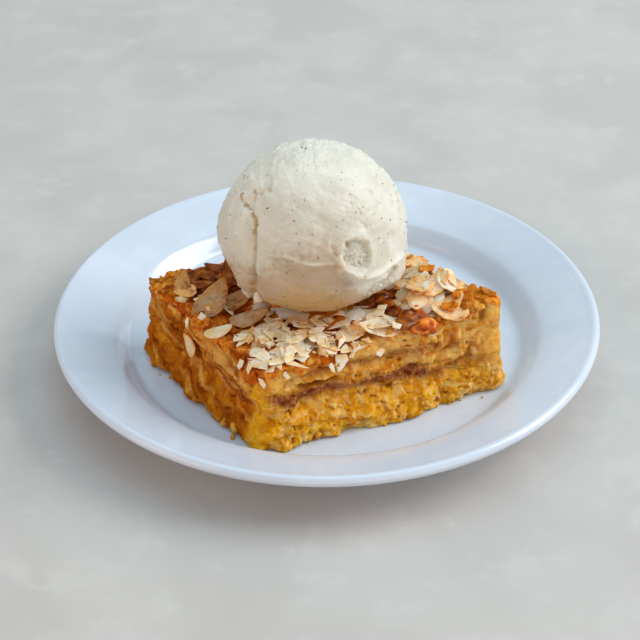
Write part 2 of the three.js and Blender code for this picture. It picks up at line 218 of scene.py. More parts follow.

# %% [markdown]
# ## Shared effects
# Four effects turn up in more than one finish, so each is a node group, built once.
#
# - *mottling* gives food its uneven colour. Real bread, crust and nuts are never one tone: broad patches
#   drift between a deep and a pale colour, and finer ones sit on top. Two noises of different size do that.
# - *painted shade* darkens what lies deep between lumps, in creases and pits, where shade falls. Its mask is
#   stored on the mesh by the code that shapes the lumps, so colour and form agree.
# - *grain* is the height of a fine, even roughness for a bump: crumb, nut flesh, ice crystals.
# - *specks* scatters small soft dots, for vanilla seeds just under the surface.
#
# `mottled`, `fine_grain` and a helper for the painted shade put one of them into a finish, and `bump` turns a
# height into the normal that makes light see it.


# %% Shared effects
def make_mottling():
    takes = [("Size", "Float", 4.0), ("Deep", "Color", (0, 0, 0, 1)), ("Body", "Color", (0, 0, 0, 1))]
    takes += [("Pale", "Color", (0, 0, 0, 1)), ("Pale Share", "Float", 0.5)]
    group, entry, leave = new_group("mottling", takes, [("Color", "Color")])
    scale = per_metre(group, entry["Size"])
    broad = drift_over(group, scale, Detail=3.0, Distortion=0.4)
    fine = drift_over(group, maths(group, "MULTIPLY", scale, 3.1), Detail=4.0, Roughness=0.65)
    body = mixed(group, ramp(group, broad, 0.36, 0.56), entry["Deep"], entry["Body"])
    both = maths(group, "ADD", maths(group, "MULTIPLY", broad, 0.5), fine)
    twice = maths(group, "MULTIPLY", entry["Pale Share"], 2.0)
    pale = maths(group, "MULTIPLY", ramp(group, both, 0.74, 0.94), twice)
    share = add(group, "Clamp", {"Value": pale}).outputs[0]
    wire(group, leave, {"Color": mixed(group, share, body, entry["Pale"])})
    return group


# painted shade: a deep colour mixed in where the painted shade value is high
def make_hollows():
    takes = [("Color", "Color", (1, 1, 1, 1)), ("Deep Color", "Color", (0, 0, 0, 1))]
    takes += [("Hollow", "Float", 0.0), ("Strength", "Float", 0.7)]
    group, entry, leave = new_group("hollows", takes, [("Color", "Color")])
    share = maths(group, "MULTIPLY", ramp(group, entry["Hollow"], 0.35, 1.0), entry["Strength"])
    wire(group, leave, {"Color": mixed(group, share, entry["Color"], entry["Deep Color"])})
    return group


def make_grain():
    group, entry, leave = new_group("grain", [("Size", "Float", 0.5)], [("Height", "Float")])
    grit = drift_over(group, per_metre(group, entry["Size"]), Detail=5.0, Roughness=0.6)
    wire(group, leave, {"Height": grit})
    return group


def make_specks():
    takes = [("Spacing", "Float", 4.0), ("Radius", "Float", 0.1)]
    group, entry, leave = new_group("specks", takes, [("Mask", "Float")])
    spread = {"Vector": own_place(group), "Scale": per_metre(group, entry["Spacing"])}
    distance = add(group, "TexVoronoi", spread, feature="F1").outputs["Distance"]
    wide = maths(group, "MULTIPLY", entry["Radius"], 1.6)
    outside = add(group, "MapRange", {"Value": distance, "From Min": entry["Radius"], "From Max": wide})
    wire(group, leave, {"Mask": maths(group, "SUBTRACT", 1.0, outside.outputs["Result"])})
    return group


MOTTLING = make_mottling()
SHADE_GROUP = make_hollows()
GRAIN = make_grain()
SPECKS = make_specks()


def stored(tree, name):
    """A value that the shaping code stored on the mesh, point by point."""
    return add(tree, "Attribute", attribute_name=name).outputs["Fac"]


def mottled(tree, size_mm, deep, body, pale, pale_share=0.5):
    """A mottled colour from three hex codes."""
    colours = {"Deep": tone(deep), "Body": tone(body), "Pale": tone(pale)}
    return use_group(tree, MOTTLING, {"Size": size_mm, **colours, "Pale Share": pale_share})["Color"]


def fine_grain(tree, size_mm):
    return use_group(tree, GRAIN, {"Size": size_mm})["Height"]


def with_painted_shade(tree, colour, deep, hollow):
    """The colour with painted shade in a deep tone, as much as the painted shade value asks."""
    inputs = {"Color": colour, "Deep Color": tone(deep), "Hollow": hollow, "Strength": 0.75}
    return use_group(tree, SHADE_GROUP, inputs)["Color"]


def bump(tree, height, depth_mm):
    """A normal that follows a height."""
    return add(tree, "Bump", {"Height": height, "Distance": depth_mm * MM}).outputs["Normal"]


print("shared effects:", [group.name for group in bpy.data.node_groups])

# %% [markdown]
# The floor gets the plainest finish, a pale warm grey with a very faint mottle so that it isn't dead flat.

# %% Floor finish
floor_finish, tree, shader = new_finish("pale_floor", Roughness=0.75)
wire(tree, shader, {"Base Color": mottled(tree, 60.0, deep="c9c5c0", body="cfcbc6", pale="d3cfca")})
floor.data.materials.append(floor_finish)
print("floor finish:", floor_finish.name)

# %% [markdown]
# ## Helpers for shapes
# Food has no straight edges, so nearly every shape below is a grid of points that mathematics pushes about. A
# few helpers do the work:
#
# - `noise` is smooth random drift, from -1 to 1, and `cells` is the distance to scattered seeds, which makes
#   rounded lumps with creases between them.
# - `soft_step` and `bell` turn a measure into a share from 0 to 1: the first is a gentle step between two
#   values, the second a hump of a given width. `closeness` is a bell round a place that is seen from above.
# - `skin` joins rings of points, from a pole below to a pole above, into one closed mesh. Where the mesh may
#   get coarser, a ring has half as many points as its neighbour.
# - `make_piece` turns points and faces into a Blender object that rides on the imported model, and a `Pile`
#   gathers many small shapes into one such piece.


# %% Noise and cells
def lattice(i, j, k):
    """A repeatable number from 0 to 1 for a lattice point."""
    n = np.sin(i * 127.1 + j * 311.7 + k * 74.7) * 43758.5453
    return n - np.floor(n)


def noise(x, y, z):
    """Smooth drift from -1 to 1."""
    x, y, z = np.broadcast_arrays(np.asarray(x, float), np.asarray(y, float), np.asarray(z, float))
    i, j, k = np.floor(x), np.floor(y), np.floor(z)
    u, v, w = (t * t * (3 - 2 * t) for t in (x - i, y - j, z - k))

    def plane(level):
        near = lattice(i, j, level) * (1 - u) + lattice(i + 1, j, level) * u
        far = lattice(i, j + 1, level) * (1 - u) + lattice(i + 1, j + 1, level) * u
        return near * (1 - v) + far * v

    return 2 * (plane(k) * (1 - w) + plane(k + 1) * w) - 1


def cells(x, y, z, seed=0.0):
    """For each place the distance to the nearest scattered seed, how much further the next one is, and a
    number from 0 to 1 that is the same all over one cell."""
    x, y, z = np.broadcast_arrays(np.asarray(x, float), np.asarray(y, float), np.asarray(z, float))
    i0, j0, k0 = np.floor(x), np.floor(y), np.floor(z)
    near = np.full(x.shape, 9.0)
    after = np.full(x.shape, 9.0)
    which = np.zeros(x.shape)
    steps = (-1, 0, 1)
    for di, dj, dk in ((a, b, c) for a in steps for b in steps for c in steps):
        i, j, k = i0 + di, j0 + dj, k0 + dk + seed
        px = i + lattice(i, j, k) - x
        py = j + lattice(i + 19.1, j, k) - y
        pz = k - seed + lattice(i, j + 7.7, k) - z
        gap = px * px + py * py + pz * pz
        closer = gap < near
        after = np.where(closer, near, np.minimum(after, gap))
        which = np.where(closer, lattice(i + 3.3, j + 5.5, k), which)
        near = np.where(closer, gap, near)
    return np.sqrt(near), np.sqrt(after) - np.sqrt(near), which


def soft_step(value, low, high):
    t = np.clip((value - low) / (high - low), 0, 1)
    return t * t * (3 - 2 * t)


def bell(value, width):
    """1 where value is 0, falling away on both sides."""
    return np.exp(-((value / width) ** 2))


def closeness(x, y, place, reach):
    """1 above a place, and fading away from it."""
    return bell(np.hypot(x - place[0], y - place[1]), reach)


row = noise(np.linspace(0, 40, 400), 0.5, 0.5)
print("along a row, noise runs from", round(float(row.min()), 2), "to", round(float(row.max()), 2))


# %% Skins and pieces
def skin(rings):
    """Faces that join rings of points into one closed skin, pole to pole. Neighbouring rings have equal
    counts, or one has twice the other's."""
    faces = []
    low = 0
    for ring, above in zip(rings, rings[1:]):
        n, m = len(ring), len(above)
        high = low + n
        s = np.arange(min(n, m) if min(n, m) > 1 else max(n, m))
        t = (s + 1) % len(s)
        if n == 1:
            made = [(low + 0 * s, high + t, high + s)]
        elif m == 1:
            made = [(high + 0 * s, low + s, low + t)]
        elif n == m:
            made = [(low + s, low + t, high + t, high + s)]
        elif n == 2 * m:
            a, b, c = low + 2 * s, low + 2 * s + 1, low + (2 * s + 2) % n
            made = [(a, b, high + s), (b, c, high + t), (b, high + t, high + s)]
        else:
            a, b, c = high + 2 * s, high + 2 * s + 1, high + (2 * s + 2) % m
            made = [(low + s, low + t, b), (low + s, b, a), (low + t, c, b)]
        for columns in made:
            faces += np.stack(columns, 1).tolist()
        low = high
    return faces


def make_piece(name, points, faces, finish, stands_for=(), values=None):
    """A smooth-shaded mesh that rides on the model, from points in millimetres. Each of values is a list of
    numbers, one for each point, that the finish can read."""
    mesh = bpy.data.meshes.new(name)
    mesh.from_pydata((np.asarray(points) * MM).tolist(), [], faces)
    mesh.polygons.foreach_set("use_smooth", np.ones(len(mesh.polygons), bool))
    for title, numbers in (values or {}).items():
        kept = mesh.attributes.new(title, "FLOAT", "POINT")
        kept.data.foreach_set("value", np.asarray(numbers, np.float32))
    mesh.materials.append(finish)
    mesh.update()
    piece = bpy.data.objects.new(name, mesh)
    bpy.context.scene.collection.objects.link(piece)
    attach(piece, "root")
    if stands_for:
        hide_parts(*stands_for)
    triangles = sum(len(face) - 2 for face in faces)
    print(f"{name}: {len(points)} points, {triangles} triangles")


class Pile:
    """Gathers many small closed shapes into the points, faces and values of one mesh."""

    def __init__(self):
        self.points = []
        self.faces = []
        self.values = {}
        self.count = 0

    def put(self, points, faces, **values):
        """Adds one shape. A value is a number for all of it or one for each point."""
        self.faces += [[corner + self.count for corner in face] for face in faces]
        self.points.append(points)
        self.count += len(points)
        for title, numbers in values.items():
            spread = np.broadcast_to(np.asarray(numbers, float), (len(points),))
            self.values.setdefault(title, []).append(spread)

    def piece(self, name, finish, slot, stands_for=()):
        values = {title: np.concatenate(parts) for title, parts in self.values.items()}
        make_piece(name, np.concatenate(self.points), self.faces, finish, stands_for, values)


square = [np.zeros((count, 3)) for count in (1, 4, 1)]
print("faces that close a ring of four points:", len(skin(square)))

# %% [markdown]
# ## The plate
# A porcelain plate is turned on a wheel, so its form is one outline swung about the upright axis. The packed
# plate has flat facets; here the same outline is smoothed with a curve through its corners and swung in many
# more steps, which keeps the rim's edge clean close up. A subdivision modifier would also smooth it, but it
# would shrink the rim, and the plate's size has to stay true. The glaze is smooth and nearly white, a little
# blue in daylight, with a thin clear coat and the slightest waviness, so that reflections on it aren't
# perfect.


# %% The plate
PLATE_RADIUS = 105
PLATE_HEIGHT = 22
FLOOR_TOP = 7  # the well's floor, above the table
WELL_RADIUS = 75
WALL_RADIUS = 82  # where the short steep wall of the well meets the rim
WALL_TOP = 15.2
FOOT_RADIUS = 60
UNDER = 2.5  # underside of the well, above the table
PLATE_COLUMNS = 288  # points round the plate
CURVE_STEPS = 6  # points on each stretch of its outline


def smooth_line(corners, steps):
    """A curve through every corner, with a number of steps on each stretch."""
    p = np.asarray(corners, float)
    ends = np.concatenate([[2 * p[0] - p[1]], p, [2 * p[-1] - p[-2]]])
    line = []
    t = np.linspace(0, 1, steps, endpoint=False)[:, None]  # how far along its stretch each point is
    for a, b, c, d in zip(ends, ends[1:], ends[2:], ends[3:]):
        reach = np.linalg.norm(c - b)
        before = (c - a) * reach / max(np.linalg.norm(b - a) + reach, 1e-6)
        after = (d - b) * reach / max(np.linalg.norm(d - c) + reach, 1e-6)
        line.append(
            b * (2 * t**3 - 3 * t**2 + 1) + before * (t**3 - 2 * t**2 + t)
            + c * (3 * t**2 - 2 * t**3) + after * (t**3 - t**2)
        )
    return np.concatenate([*line, p[-1:]])


def turned_rings(outline, around):
    """Rings of a turned form. The outline runs from the axis below to the axis above, as (radius, height)."""
    angle = np.arange(around) * 2 * math.pi / around
    rings = []
    for radius, height in outline:
        if radius < 1e-6:
            rings.append(np.array([[0.0, 0.0, height]]))
        else:
            flat = np.full(around, height)
            rings.append(np.stack([radius * np.cos(angle), radius * np.sin(angle), flat], 1))
    return rings


def plate_outline():
    """Half of the plate's section, from the axis below, round the rim, to the axis above."""
    under = [(0, UNDER), (FOOT_RADIUS - 12, UNDER), (FOOT_RADIUS - 4.5, UNDER)]
    foot = [(FOOT_RADIUS - 3, 0.25), (FOOT_RADIUS - 2.6, 0), (FOOT_RADIUS - 0.4, 0), (FOOT_RADIUS, 0.25)]
    out = [(FOOT_RADIUS + 1.5, UNDER - 0.4), (WELL_RADIUS + 1, UNDER + 1.4)]
    out += [(WALL_RADIUS + 1.5, WALL_TOP - 4.6)]
    lip = [(PLATE_RADIUS - 8, PLATE_HEIGHT - 6), (PLATE_RADIUS - 1.2, PLATE_HEIGHT - 4)]
    lip += [(PLATE_RADIUS, PLATE_HEIGHT - 2), (PLATE_RADIUS - 0.8, PLATE_HEIGHT - 0.5)]
    lip += [(PLATE_RADIUS - 2, PLATE_HEIGHT), (PLATE_RADIUS - 4.8, PLATE_HEIGHT - 0.9)]
    rim = [(PLATE_RADIUS - 12, PLATE_HEIGHT - 3.3), (WALL_RADIUS + 3, WALL_TOP + 0.6)]
    wall = [(WALL_RADIUS, WALL_TOP - 1), (WALL_RADIUS - 3, WALL_TOP - 4.2)]
    wall += [(WELL_RADIUS + 1.8, FLOOR_TOP + 1.3)]
    well = [(WELL_RADIUS, FLOOR_TOP + 0.2), (WELL_RADIUS - 3, FLOOR_TOP), (WELL_RADIUS - 15, FLOOR_TOP)]
    line = smooth_line(under + foot + out + lip + rim + wall + well, CURVE_STEPS)
    line[:, 1] = np.clip(line[:, 1], 0, PLATE_HEIGHT)
    line[:, 0] = np.clip(line[:, 0], 0, PLATE_RADIUS)
    return np.concatenate([line, [(0, FLOOR_TOP)]])


def make_porcelain():
    finish, tree, shader = new_finish(
        "porcelain", Roughness=0.16, IOR=1.6, Coat_Weight=0.3, Coat_Roughness=0.1
    )
    glaze = mottled(tree, 45.0, deep="d6e2f1", body="dae6f5", pale="dfeaf7")
    wire(tree, shader, {"Base Color": glaze, "Normal": bump(tree, fine_grain(tree, 16.0), 0.05)})
    return finish


rings = turned_rings(plate_outline(), PLATE_COLUMNS)
make_piece("white_plate", np.concatenate(rings), skin(rings), make_porcelain(), ["plate"])

# %% [markdown]
# ## The outline of the slice
# The slice is cut by hand, so it is a square in name only: it narrows towards the back, its corners are soft,
# and its top rises from the front to the right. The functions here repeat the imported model's own form, so
# that what Blender makes stays where the solids are: `outline` walks round the edge, `crust_top` and
# `seam_height` give the layers, and `crag` is the broad relief of the torn sides.


# %% The outline of the slice
GAP = 0.35  # clear air between pieces that rest on each other
CORNERS = np.array([(-23.5, -68.5), (66, -31), (9, 26), (-70, -3)])  # front, right, back, left
CORNER_HEIGHTS = np.array([31, 36.5, 35.5, 31.3])  # above the well's floor
CORNER_SOFTNESS = 4.5
FLARE = 1.6  # how much further out the foot is than the top
CRAG = 1.5  # height of the broad relief of the sides
CRUST_BUMP = 1.3
CURL_PLACE = (59.5, -29)  # the lifted tip of the crust at the right corner
CURL_RISE = 3.6
CURL_SPREAD = 8
SEAM_BASE = 17.5  # above the well's floor
SEAM_TOP = 21
SEAM_WAVE = 0.8
SEAM_DIP_RIGHT = 6  # how much lower the seam runs at the right corner
SEAM_DIP_LEFT = 3
BALL_CENTRE = np.array([-4.3, -17, 65.9])
BALL_RADIUS = 33.8
BALL_UNDERSIDE = 26.4  # its radius downwards, where its own weight has flattened it
SEAT_HEIGHT = 41  # where the ball rests on the crust, above the table
SEAT_RADIUS = 16

EDGES = np.roll(CORNERS, -1, axis=0) - CORNERS
EDGE_LENGTHS = np.linalg.norm(EDGES, axis=1)
EDGE_STARTS = np.concatenate([[0], np.cumsum(EDGE_LENGTHS)[:-1]])
PERIMETER = EDGE_LENGTHS.sum()
MIDDLE = CORNERS.mean(axis=0)


def sharp_outline(distance):
    along = np.mod(distance, PERIMETER)
    edge = np.searchsorted(EDGE_STARTS, along, side="right") - 1
    share = (along - EDGE_STARTS[edge]) / EDGE_LENGTHS[edge]
    return CORNERS[edge] + EDGES[edge] * share[..., None]


def outline(distance):
    """The edge of the slice at a distance along it from the front corner, with soft corners."""
    distance = np.asarray(distance, float)
    shifts = np.linspace(-CORNER_SOFTNESS, CORNER_SOFTNESS, 9)
    return np.mean([sharp_outline(distance + shift) for shift in shifts], axis=0)


def outwards(distance):
    """The direction straight out of the side of the slice."""
    ahead = outline(np.asarray(distance) + 1) - outline(np.asarray(distance) - 1)
    facing = np.stack([ahead[..., 1], -ahead[..., 0]], -1)
    return facing / np.linalg.norm(facing, axis=-1, keepdims=True)


def slice_height(x, y):
    """The height of the slice without its bumps, blended from the four corners."""
    blend = 400  # mm squared: the larger it is, the less a corner's own height shows
    weights = [1 / ((x - cx) ** 2 + (y - cy) ** 2 + blend) for cx, cy in CORNERS]
    return sum(w * h for w, h in zip(weights, CORNER_HEIGHTS)) / sum(weights)


def crust_top(x, y):
    """The top of the crust above the table, level where the ball is seated."""
    bumps = noise(x / 9, y / 9, 4.2) + 0.5 * noise(x / 4, y / 4, 9.7)
    curl = CURL_RISE * closeness(x, y, CURL_PLACE, CURL_SPREAD)
    baked = FLOOR_TOP + slice_height(x, y) + CRUST_BUMP * bumps + curl
    from_ball = np.hypot(x - BALL_CENTRE[0], y - BALL_CENTRE[1])
    share = soft_step(from_ball, SEAT_RADIUS, SEAT_RADIUS + 7)
    return SEAT_HEIGHT * (1 - share) + baked * share


def seam_height(x, y, level):
    """The height of the seam's underside or top above the table."""
    right = SEAM_DIP_RIGHT * soft_step(x, 5, CORNERS[1][0])
    left = SEAM_DIP_LEFT * soft_step(-x, -CORNERS[0][0], -CORNERS[3][0])
    return FLOOR_TOP + level - right - left + SEAM_WAVE * noise(x / 30, y / 30, level)


def crag(x, y, z):
    """The broad relief of the torn sides."""
    return CRAG * (noise(x / 7, y / 7, z / 4.5 + 3) + 0.6 * noise(x / 3.4, y / 3.4, z / 2.6 + 3))


print("the slice is", [round(float(length)) for length in EDGE_LENGTHS], "mm along its sides")

# %% [markdown]
# ## Torn bread
# Bread pudding is bread that has soaked up custard and set. Cut or torn, it shows rounded, moist lumps of a
# few millimetres with creases between them, drawn out flat where the slices of bread lay, and here and there
# a hole where custard didn't reach. Painting this on as bump would look flat at the outline, so it is real
# relief: the size of a drifting noise, whatever its sign, puffs up into billows with winding creases where it
# crosses zero. A few rounded knobs of crumb sit on them, and thin grooves part the layers of bread. On the
# left side the layers slope down towards the front corner, because the slices sagged there in the dish.
#
# The same noises give each place its painted shade in creases, grooves and pits, and its pale lumps with
# small pale specks that are painted wet highlights. The finish turns these into colour, so colour and
# form agree.

# %% Torn bread
LEFT_TILT = 0.29  # how steeply the layers slope on the left side
LEFT_START = PERIMETER - EDGE_LENGTHS[3]  # the left corner, along the outline
RIGHT_CORNER = EDGE_LENGTHS[0]


def left_share(distance):
    """1 on the left side, 0 on the front one, fading round the back."""
    far = soft_step(distance, LEFT_START - 60, LEFT_START - 5)
    return far * soft_step(PERIMETER - distance, 0, 7)


def layer_rise(distance):
    """How much higher a layer of bread runs than at the front corner."""
    sloping = LEFT_TILT * (PERIMETER - distance)
    faded = LEFT_TILT * EDGE_LENGTHS[3] * soft_step(distance, LEFT_START - 60, LEFT_START)
    return np.where(distance > LEFT_START, sloping, faded)


def lumps(x, y, z, width, flat, seed):
    """Rounded lumps of a width, flattened in z. Gives relief from 0 to 1, creases from 0 to 1, and a number
    for each lump."""
    _, crease, which = cells(x / width, y / width, z / (width * flat), seed)
    dome = 1 - (1 - np.clip(crease / 0.65, 0, 1)) ** 2
    return dome * (0.45 + 0.55 * which), (1 - dome) ** 2, which


def billow(x, y, z, seed):
    """Puffy relief from 0 to 1 with winding creases, and the creases themselves."""
    drift = noise(x + seed, y, z + 2 * seed)
    return np.sqrt(drift**2 + 0.01), bell(drift, 0.13)


def torn(x, y, z, left, rise):
    """Relief of the torn bread in mm, its painted shade in creases, grooves and pits, and how pale each place
    is, with its painted wet highlights, both from 0 to 1.
    """
    warp = 1.5 * noise(x / 4, y / 4, z / 4 + 40) + 0.5 * noise(x / 1.9, y / 1.9, z / 1.9 + 70)
    other = 1.5 * noise(x / 4 + 31, y / 4, z / 4) + 0.5 * noise(x / 1.9 + 11, y / 1.9, z / 1.9)
    level = z - rise + 1.4 * noise(x / 8, y / 8 + 17, z / 6) + 0.4 * noise(x / 1.8, y / 1.8 + 23, z / 1.6)
    x, y = x + warp, y + other
    layered = np.clip(0.9 * left + 0.15 * soft_step(z, 18, 28) * (1 - left), 0, 1)
    soft, soft_crease = billow(x / 4.2, y / 4.2, level / 3.6, 3)
    drawn, drawn_crease = billow(x / 9, y / 9, level / 1.7, 5)
    small, small_crease = billow(x / 2.0, y / 2.0, level / 1.6, 9)
    knob, knob_crease, knob_id = lumps(x, y, level, 2.4, 0.8, 13)
    large = soft * (1 - layered) + drawn * layered
    crease = soft_crease * (1 - layered) + drawn_crease * layered
    knobby = soft_step(noise(x / 6, y / 6 + 3, level / 4), -0.1, 0.4) * (1 - 0.6 * layered)
    phase = (level + 2.4 * noise(x / 17, y / 17, z / 12 + 5)) / 7.5
    from_line = np.abs(phase - np.round(phase)) * 7.5
    opened = soft_step(noise(x / 10 + 5, y / 10, level / 5), 0.0, 0.6) * (0.3 + 0.7 * layered)
    groove = bell(from_line, 0.7) * opened
    holed = soft_step(noise(x / 5, y / 5, z / 5 + 9), -0.2, 0.2)
    pit = soft_step(noise(x / 1.6 + 5, y / 1.6, z / 1.4), 0.45, 0.7) * holed
    broad = 0.8 * noise(x / 6.5, y / 6.5, z / 5 + 60)
    fine = 0.3 * noise(x / 0.9, y / 0.9, z / 0.9)
    relief = 1.7 * large * (1 - 0.25 * layered) + 1.1 * small + 0.8 * knob * knobby + broad + fine
    relief = relief - 1.0 * groove - 0.9 * pit - 1.25
    patchy = 0.35 + 0.65 * soft_step(noise(x / 4 + 2, y / 4, level / 3), -0.2, 0.4)
    creases = (0.7 * crease + 0.25 * small_crease) * patchy + 0.3 * knob_crease * knobby
    # painted shade: dark deep in the creases, grooves and pits
    hollow = np.clip(creases + 0.8 * groove + 0.8 * pit, 0, 1)
    pale = soft_step(noise(x / 2.2 + 8, y / 2.2, level / 1.7), 0.0, 0.5) * (1 - layered)
    pale = pale + 0.35 * soft_step(knob_id, 0.5, 0.9) * knob * knobby
    # small pale specks: painted wet highlights
    pale = pale + 0.6 * soft_step(noise(x / 1.1 + 3, y / 1.1, z), 0.4, 0.6) * (1 - layered)
    strand = soft_step(noise(x / 16 + 9, y / 16, level / 2.4), -0.1, 0.5)
    return relief, hollow, np.clip(pale + strand * layered, 0, 1)


print("the layers slope on", round(float(EDGE_LENGTHS[3])), "mm of the left side")

# %% [markdown]
# ## Cinnamon, sugar and custard
# Four things colour the torn bread. Cinnamon has run along the seam and, on the left, along the slanting
# layers. Sugar has melted on the crust and browned in patches, and beside the ball it has nearly burnt. Where
# the crust has worn off the front edge, pale crumb shows, painted paler still as light on the shaded shoulder
# of the crust there. Custard has sunk to the foot of the slice and set in a smooth ridge at the front corner.
# Painted maps could say where, but they would have to be painted again after every change of shape. Functions
# of a point's place follow the shape by themselves.

# %% Cinnamon, sugar and custard
CUSTARD_RIDGE = CORNERS[0] + [-1.5, 2]
BROWNED_SUGAR = [(-27, -61, 7), (-8, -60.5, 6), (3, -54, 6), (-34, -43, 5.5), (-2, -41, 5)]  # x, y, reach
BURNT_SUGAR = [(-49, -16, 6.5), (-46, -28, 4.5), (-35, -20, 6), (-31, -31, 5), (-41, -8, 8)]
# where the crust has worn off, and where painted light brightens its shaded shoulder
WORN_AND_LIT_SHOULDER = (20, -49, 10)


def seam_middle(x, y):
    return (seam_height(x, y, SEAM_BASE) + seam_height(x, y, SEAM_TOP)) / 2


def corner_ridge(x, y, z):
    """1 on the smooth ridge of custard at the front corner, below the crust."""
    return closeness(x, y, CUSTARD_RIDGE, 5.5) * soft_step(37 - z, 0, 8)


def stain_at(x, y, z, left, rise):
    """How much cinnamon a place has taken up, from 0 to 1: in streaks near the seam, and on the left in
    slanting strands."""
    seam = seam_middle(x, y)
    drift = 1.6 * noise(x / 13, y / 13, z / 8 + 30) + 0.8 * noise(x / 4, y / 4, z / 2 + 12)
    band = bell(z - seam + drift, 2.2) * (0.9 + 0.5 * soft_step(noise(x / 9, y / 9, 4), -0.6, 0.2))
    upper = seam + 8.5 - 5 * soft_step(x, 45, 66)
    second = bell(z - upper + drift, 1.9) * soft_step(noise(x / 14, y / 14, 7.1), -0.3, 0.15)
    level = z - rise + 0.5 * drift
    strands = soft_step(noise(x / 12, y / 12, level / 1.1), 0.0, 0.3)
    slanting = strands * (0.45 + 0.45 * bell(level - 17, 4)) * soft_step(level, 2, 8)
    fading = 1 - 0.55 * soft_step(x, 34, 52)
    stain = (band + 0.7 * second) * fading * (1 - left) + 0.9 * slanting * left
    return np.clip(stain * (1 - corner_ridge(x, y, z)), 0, 1)


def near_any(x, y, places):
    return sum(closeness(x, y, place, reach) for *place, reach in places)


def caramelised(x, y):
    """How far the sugar on the crust has melted and browned: up to 1 in patches, most of them by the front
    corner, and up to 2 where it has nearly burnt beside the ball."""
    patches = soft_step(noise(x / 3.0 + 1, y / 3.0, 5.5), -0.1, 0.25)
    uneven = 0.75 + 0.7 * noise(x / 1.8, y / 1.8, 2.5)
    sugar = np.clip(0.35 * patches + near_any(x, y, BROWNED_SUGAR) * uneven, 0, 1)
    return np.clip(sugar + 2.6 * near_any(x, y, BURNT_SUGAR) * uneven, 0, 2)


def worn_crust_and_lit_shoulder(x, y):
    """1 where the crust has come off the front edge and the crumb shows. The pale that it brings is partly
    painted light on the shaded shoulder of the crust there.
    """
    return near_any(x, y, [WORN_AND_LIT_SHOULDER])


def golden_at(x, y, z, left, rise):
    """How much set custard shows, from 0 to 1: nearly all of the foot of the slice, and patches higher up."""
    level = (seam_middle(x, y) - 2) * (1 - left) + (12 + rise) * left + 3.0 * noise(x / 9, y / 9, 2.4)
    foot = soft_step(level - z, -3.5, 4)
    patches = soft_step(noise(x / 7 + 3, y / 7, z / 4.5), 0.0, 0.5)
    return np.clip(foot * (0.8 + 0.3 * patches) + 0.6 * patches + 1.5 * corner_ridge(x, y, z), 0, 1)


print("patches of browned sugar:", len(BROWNED_SUGAR), "and of burnt sugar:", len(BURNT_SUGAR))

# %% [markdown]
# ## The side of the slice
# The side is one continuous torn face that three pieces share: custard bread below, the cinnamon seam, and
# the paler bread with its crust. `side_form` shapes it. The crust's edge stands a little proud of the soft
# bread, with long crevices under its lips, a chip out of the left corner and a fold under the lifted tip on
# the right. The heavy wet foot of the slice has spread and is ragged, with small bites out of it where it was
# lifted on to the plate. The right corner was the edge of the dish, so it is smoother, with upright streaks
# and a split beside it.
#
# `side_values` works out the colour values. Toast and melted sugar have run down from the crust in places,
# syrup has soaked the left side, and the front face has pale and syrupy patches towards the right.
# `side_grid` then gives rows of the face between two heights. Carving the slice from one solid with a
# sculpting brush would be freer, but its three layers would no longer meet along the same edge.

# %% The side of the slice
COLUMNS = 960  # points round the slice
AROUND = np.arange(COLUMNS) * PERIMETER / COLUMNS
EDGE = outline(AROUND)
FACING = outwards(AROUND)
LEFT = left_share(AROUND)
RISE = layer_rise(AROUND)
CHIPPED_CORNER = (-68.5, -3.5)
SUGAR_RUN = (-27, -64)  # where melted sugar has run down the front corner
CREVICES = [  # from x, to x, height above the table, depth, width
    (-9, 4, 29.0, 2.4, 0.9), (29, 39, 25.6, 0.9, 0.6), (-24, -4, 27.0, 0.6, 0.6), (2, 24, 20.5, 0.6, 0.7),
]
SPREAD = [  # how far the wet foot has spread: distance along the outline, mm outwards
    (0, 3.3), (9, 4.3), (17, 2.9), (32, 3.1), (40, 5.3), (62, 5.7), (70, 3), (88, 3), (97, 2.2), (115, 0),
    (245, 0), (264, 2), (276, 4.6), (320, 5.2), (334, 3.2), (342.2, 3.3),
]


def top_height(x, y):
    """The crust with its fine blisters."""
    dome, _, _ = lumps(x, y, 0.3, 3.4, 1, 21)
    from_ball = np.hypot(x - BALL_CENTRE[0], y - BALL_CENTRE[1])
    fine = (dome - 0.45) * 1.1 + 0.3 * noise(x / 1.3, y / 1.3, 2.2)
    chipped = 2.6 * closeness(x, y, CHIPPED_CORNER, 4.5)
    return crust_top(x, y) + fine * soft_step(from_ball, SEAT_RADIUS - 4, SEAT_RADIUS + 4) - chipped


def crevice(x, z, start, end, level, depth, width):
    """A long crevice under a lip of bread, from x = start to x = end, at a height. Its depth also sets painted
    shade.
    """
    along = soft_step(x, start - 3, start + 3) * soft_step(end + 3 - x, 0, 6)
    below = z - level - 0.7 * noise(x / 4, 0.5, level)
    return depth * along * bell(below, width)


def foot_spread(distance, z):
    """How far the wet foot of the slice has spread."""
    at, out = zip(*SPREAD)
    return np.interp(distance, at, out) * soft_step(22 - z, 0, 13)


def front_share(y, left):
    return (1 - left) * (y < 0)


def upright_at(z):
    """1 at the right corner above its foot, which baked against the wall of the dish."""
    return bell(AROUND - RIGHT_CORNER, 11) * soft_step(z, 12, 22)


def fold_at(z):
    """1 in the fold under the lifted tip of the crust, which also gets painted shade."""
    return bell(AROUND - RIGHT_CORNER + 9.5 - 1.5 * noise(0.5, 4.5, z / 3), 1.7) * soft_step(z, 35, 39)


print("points round the slice:", COLUMNS)


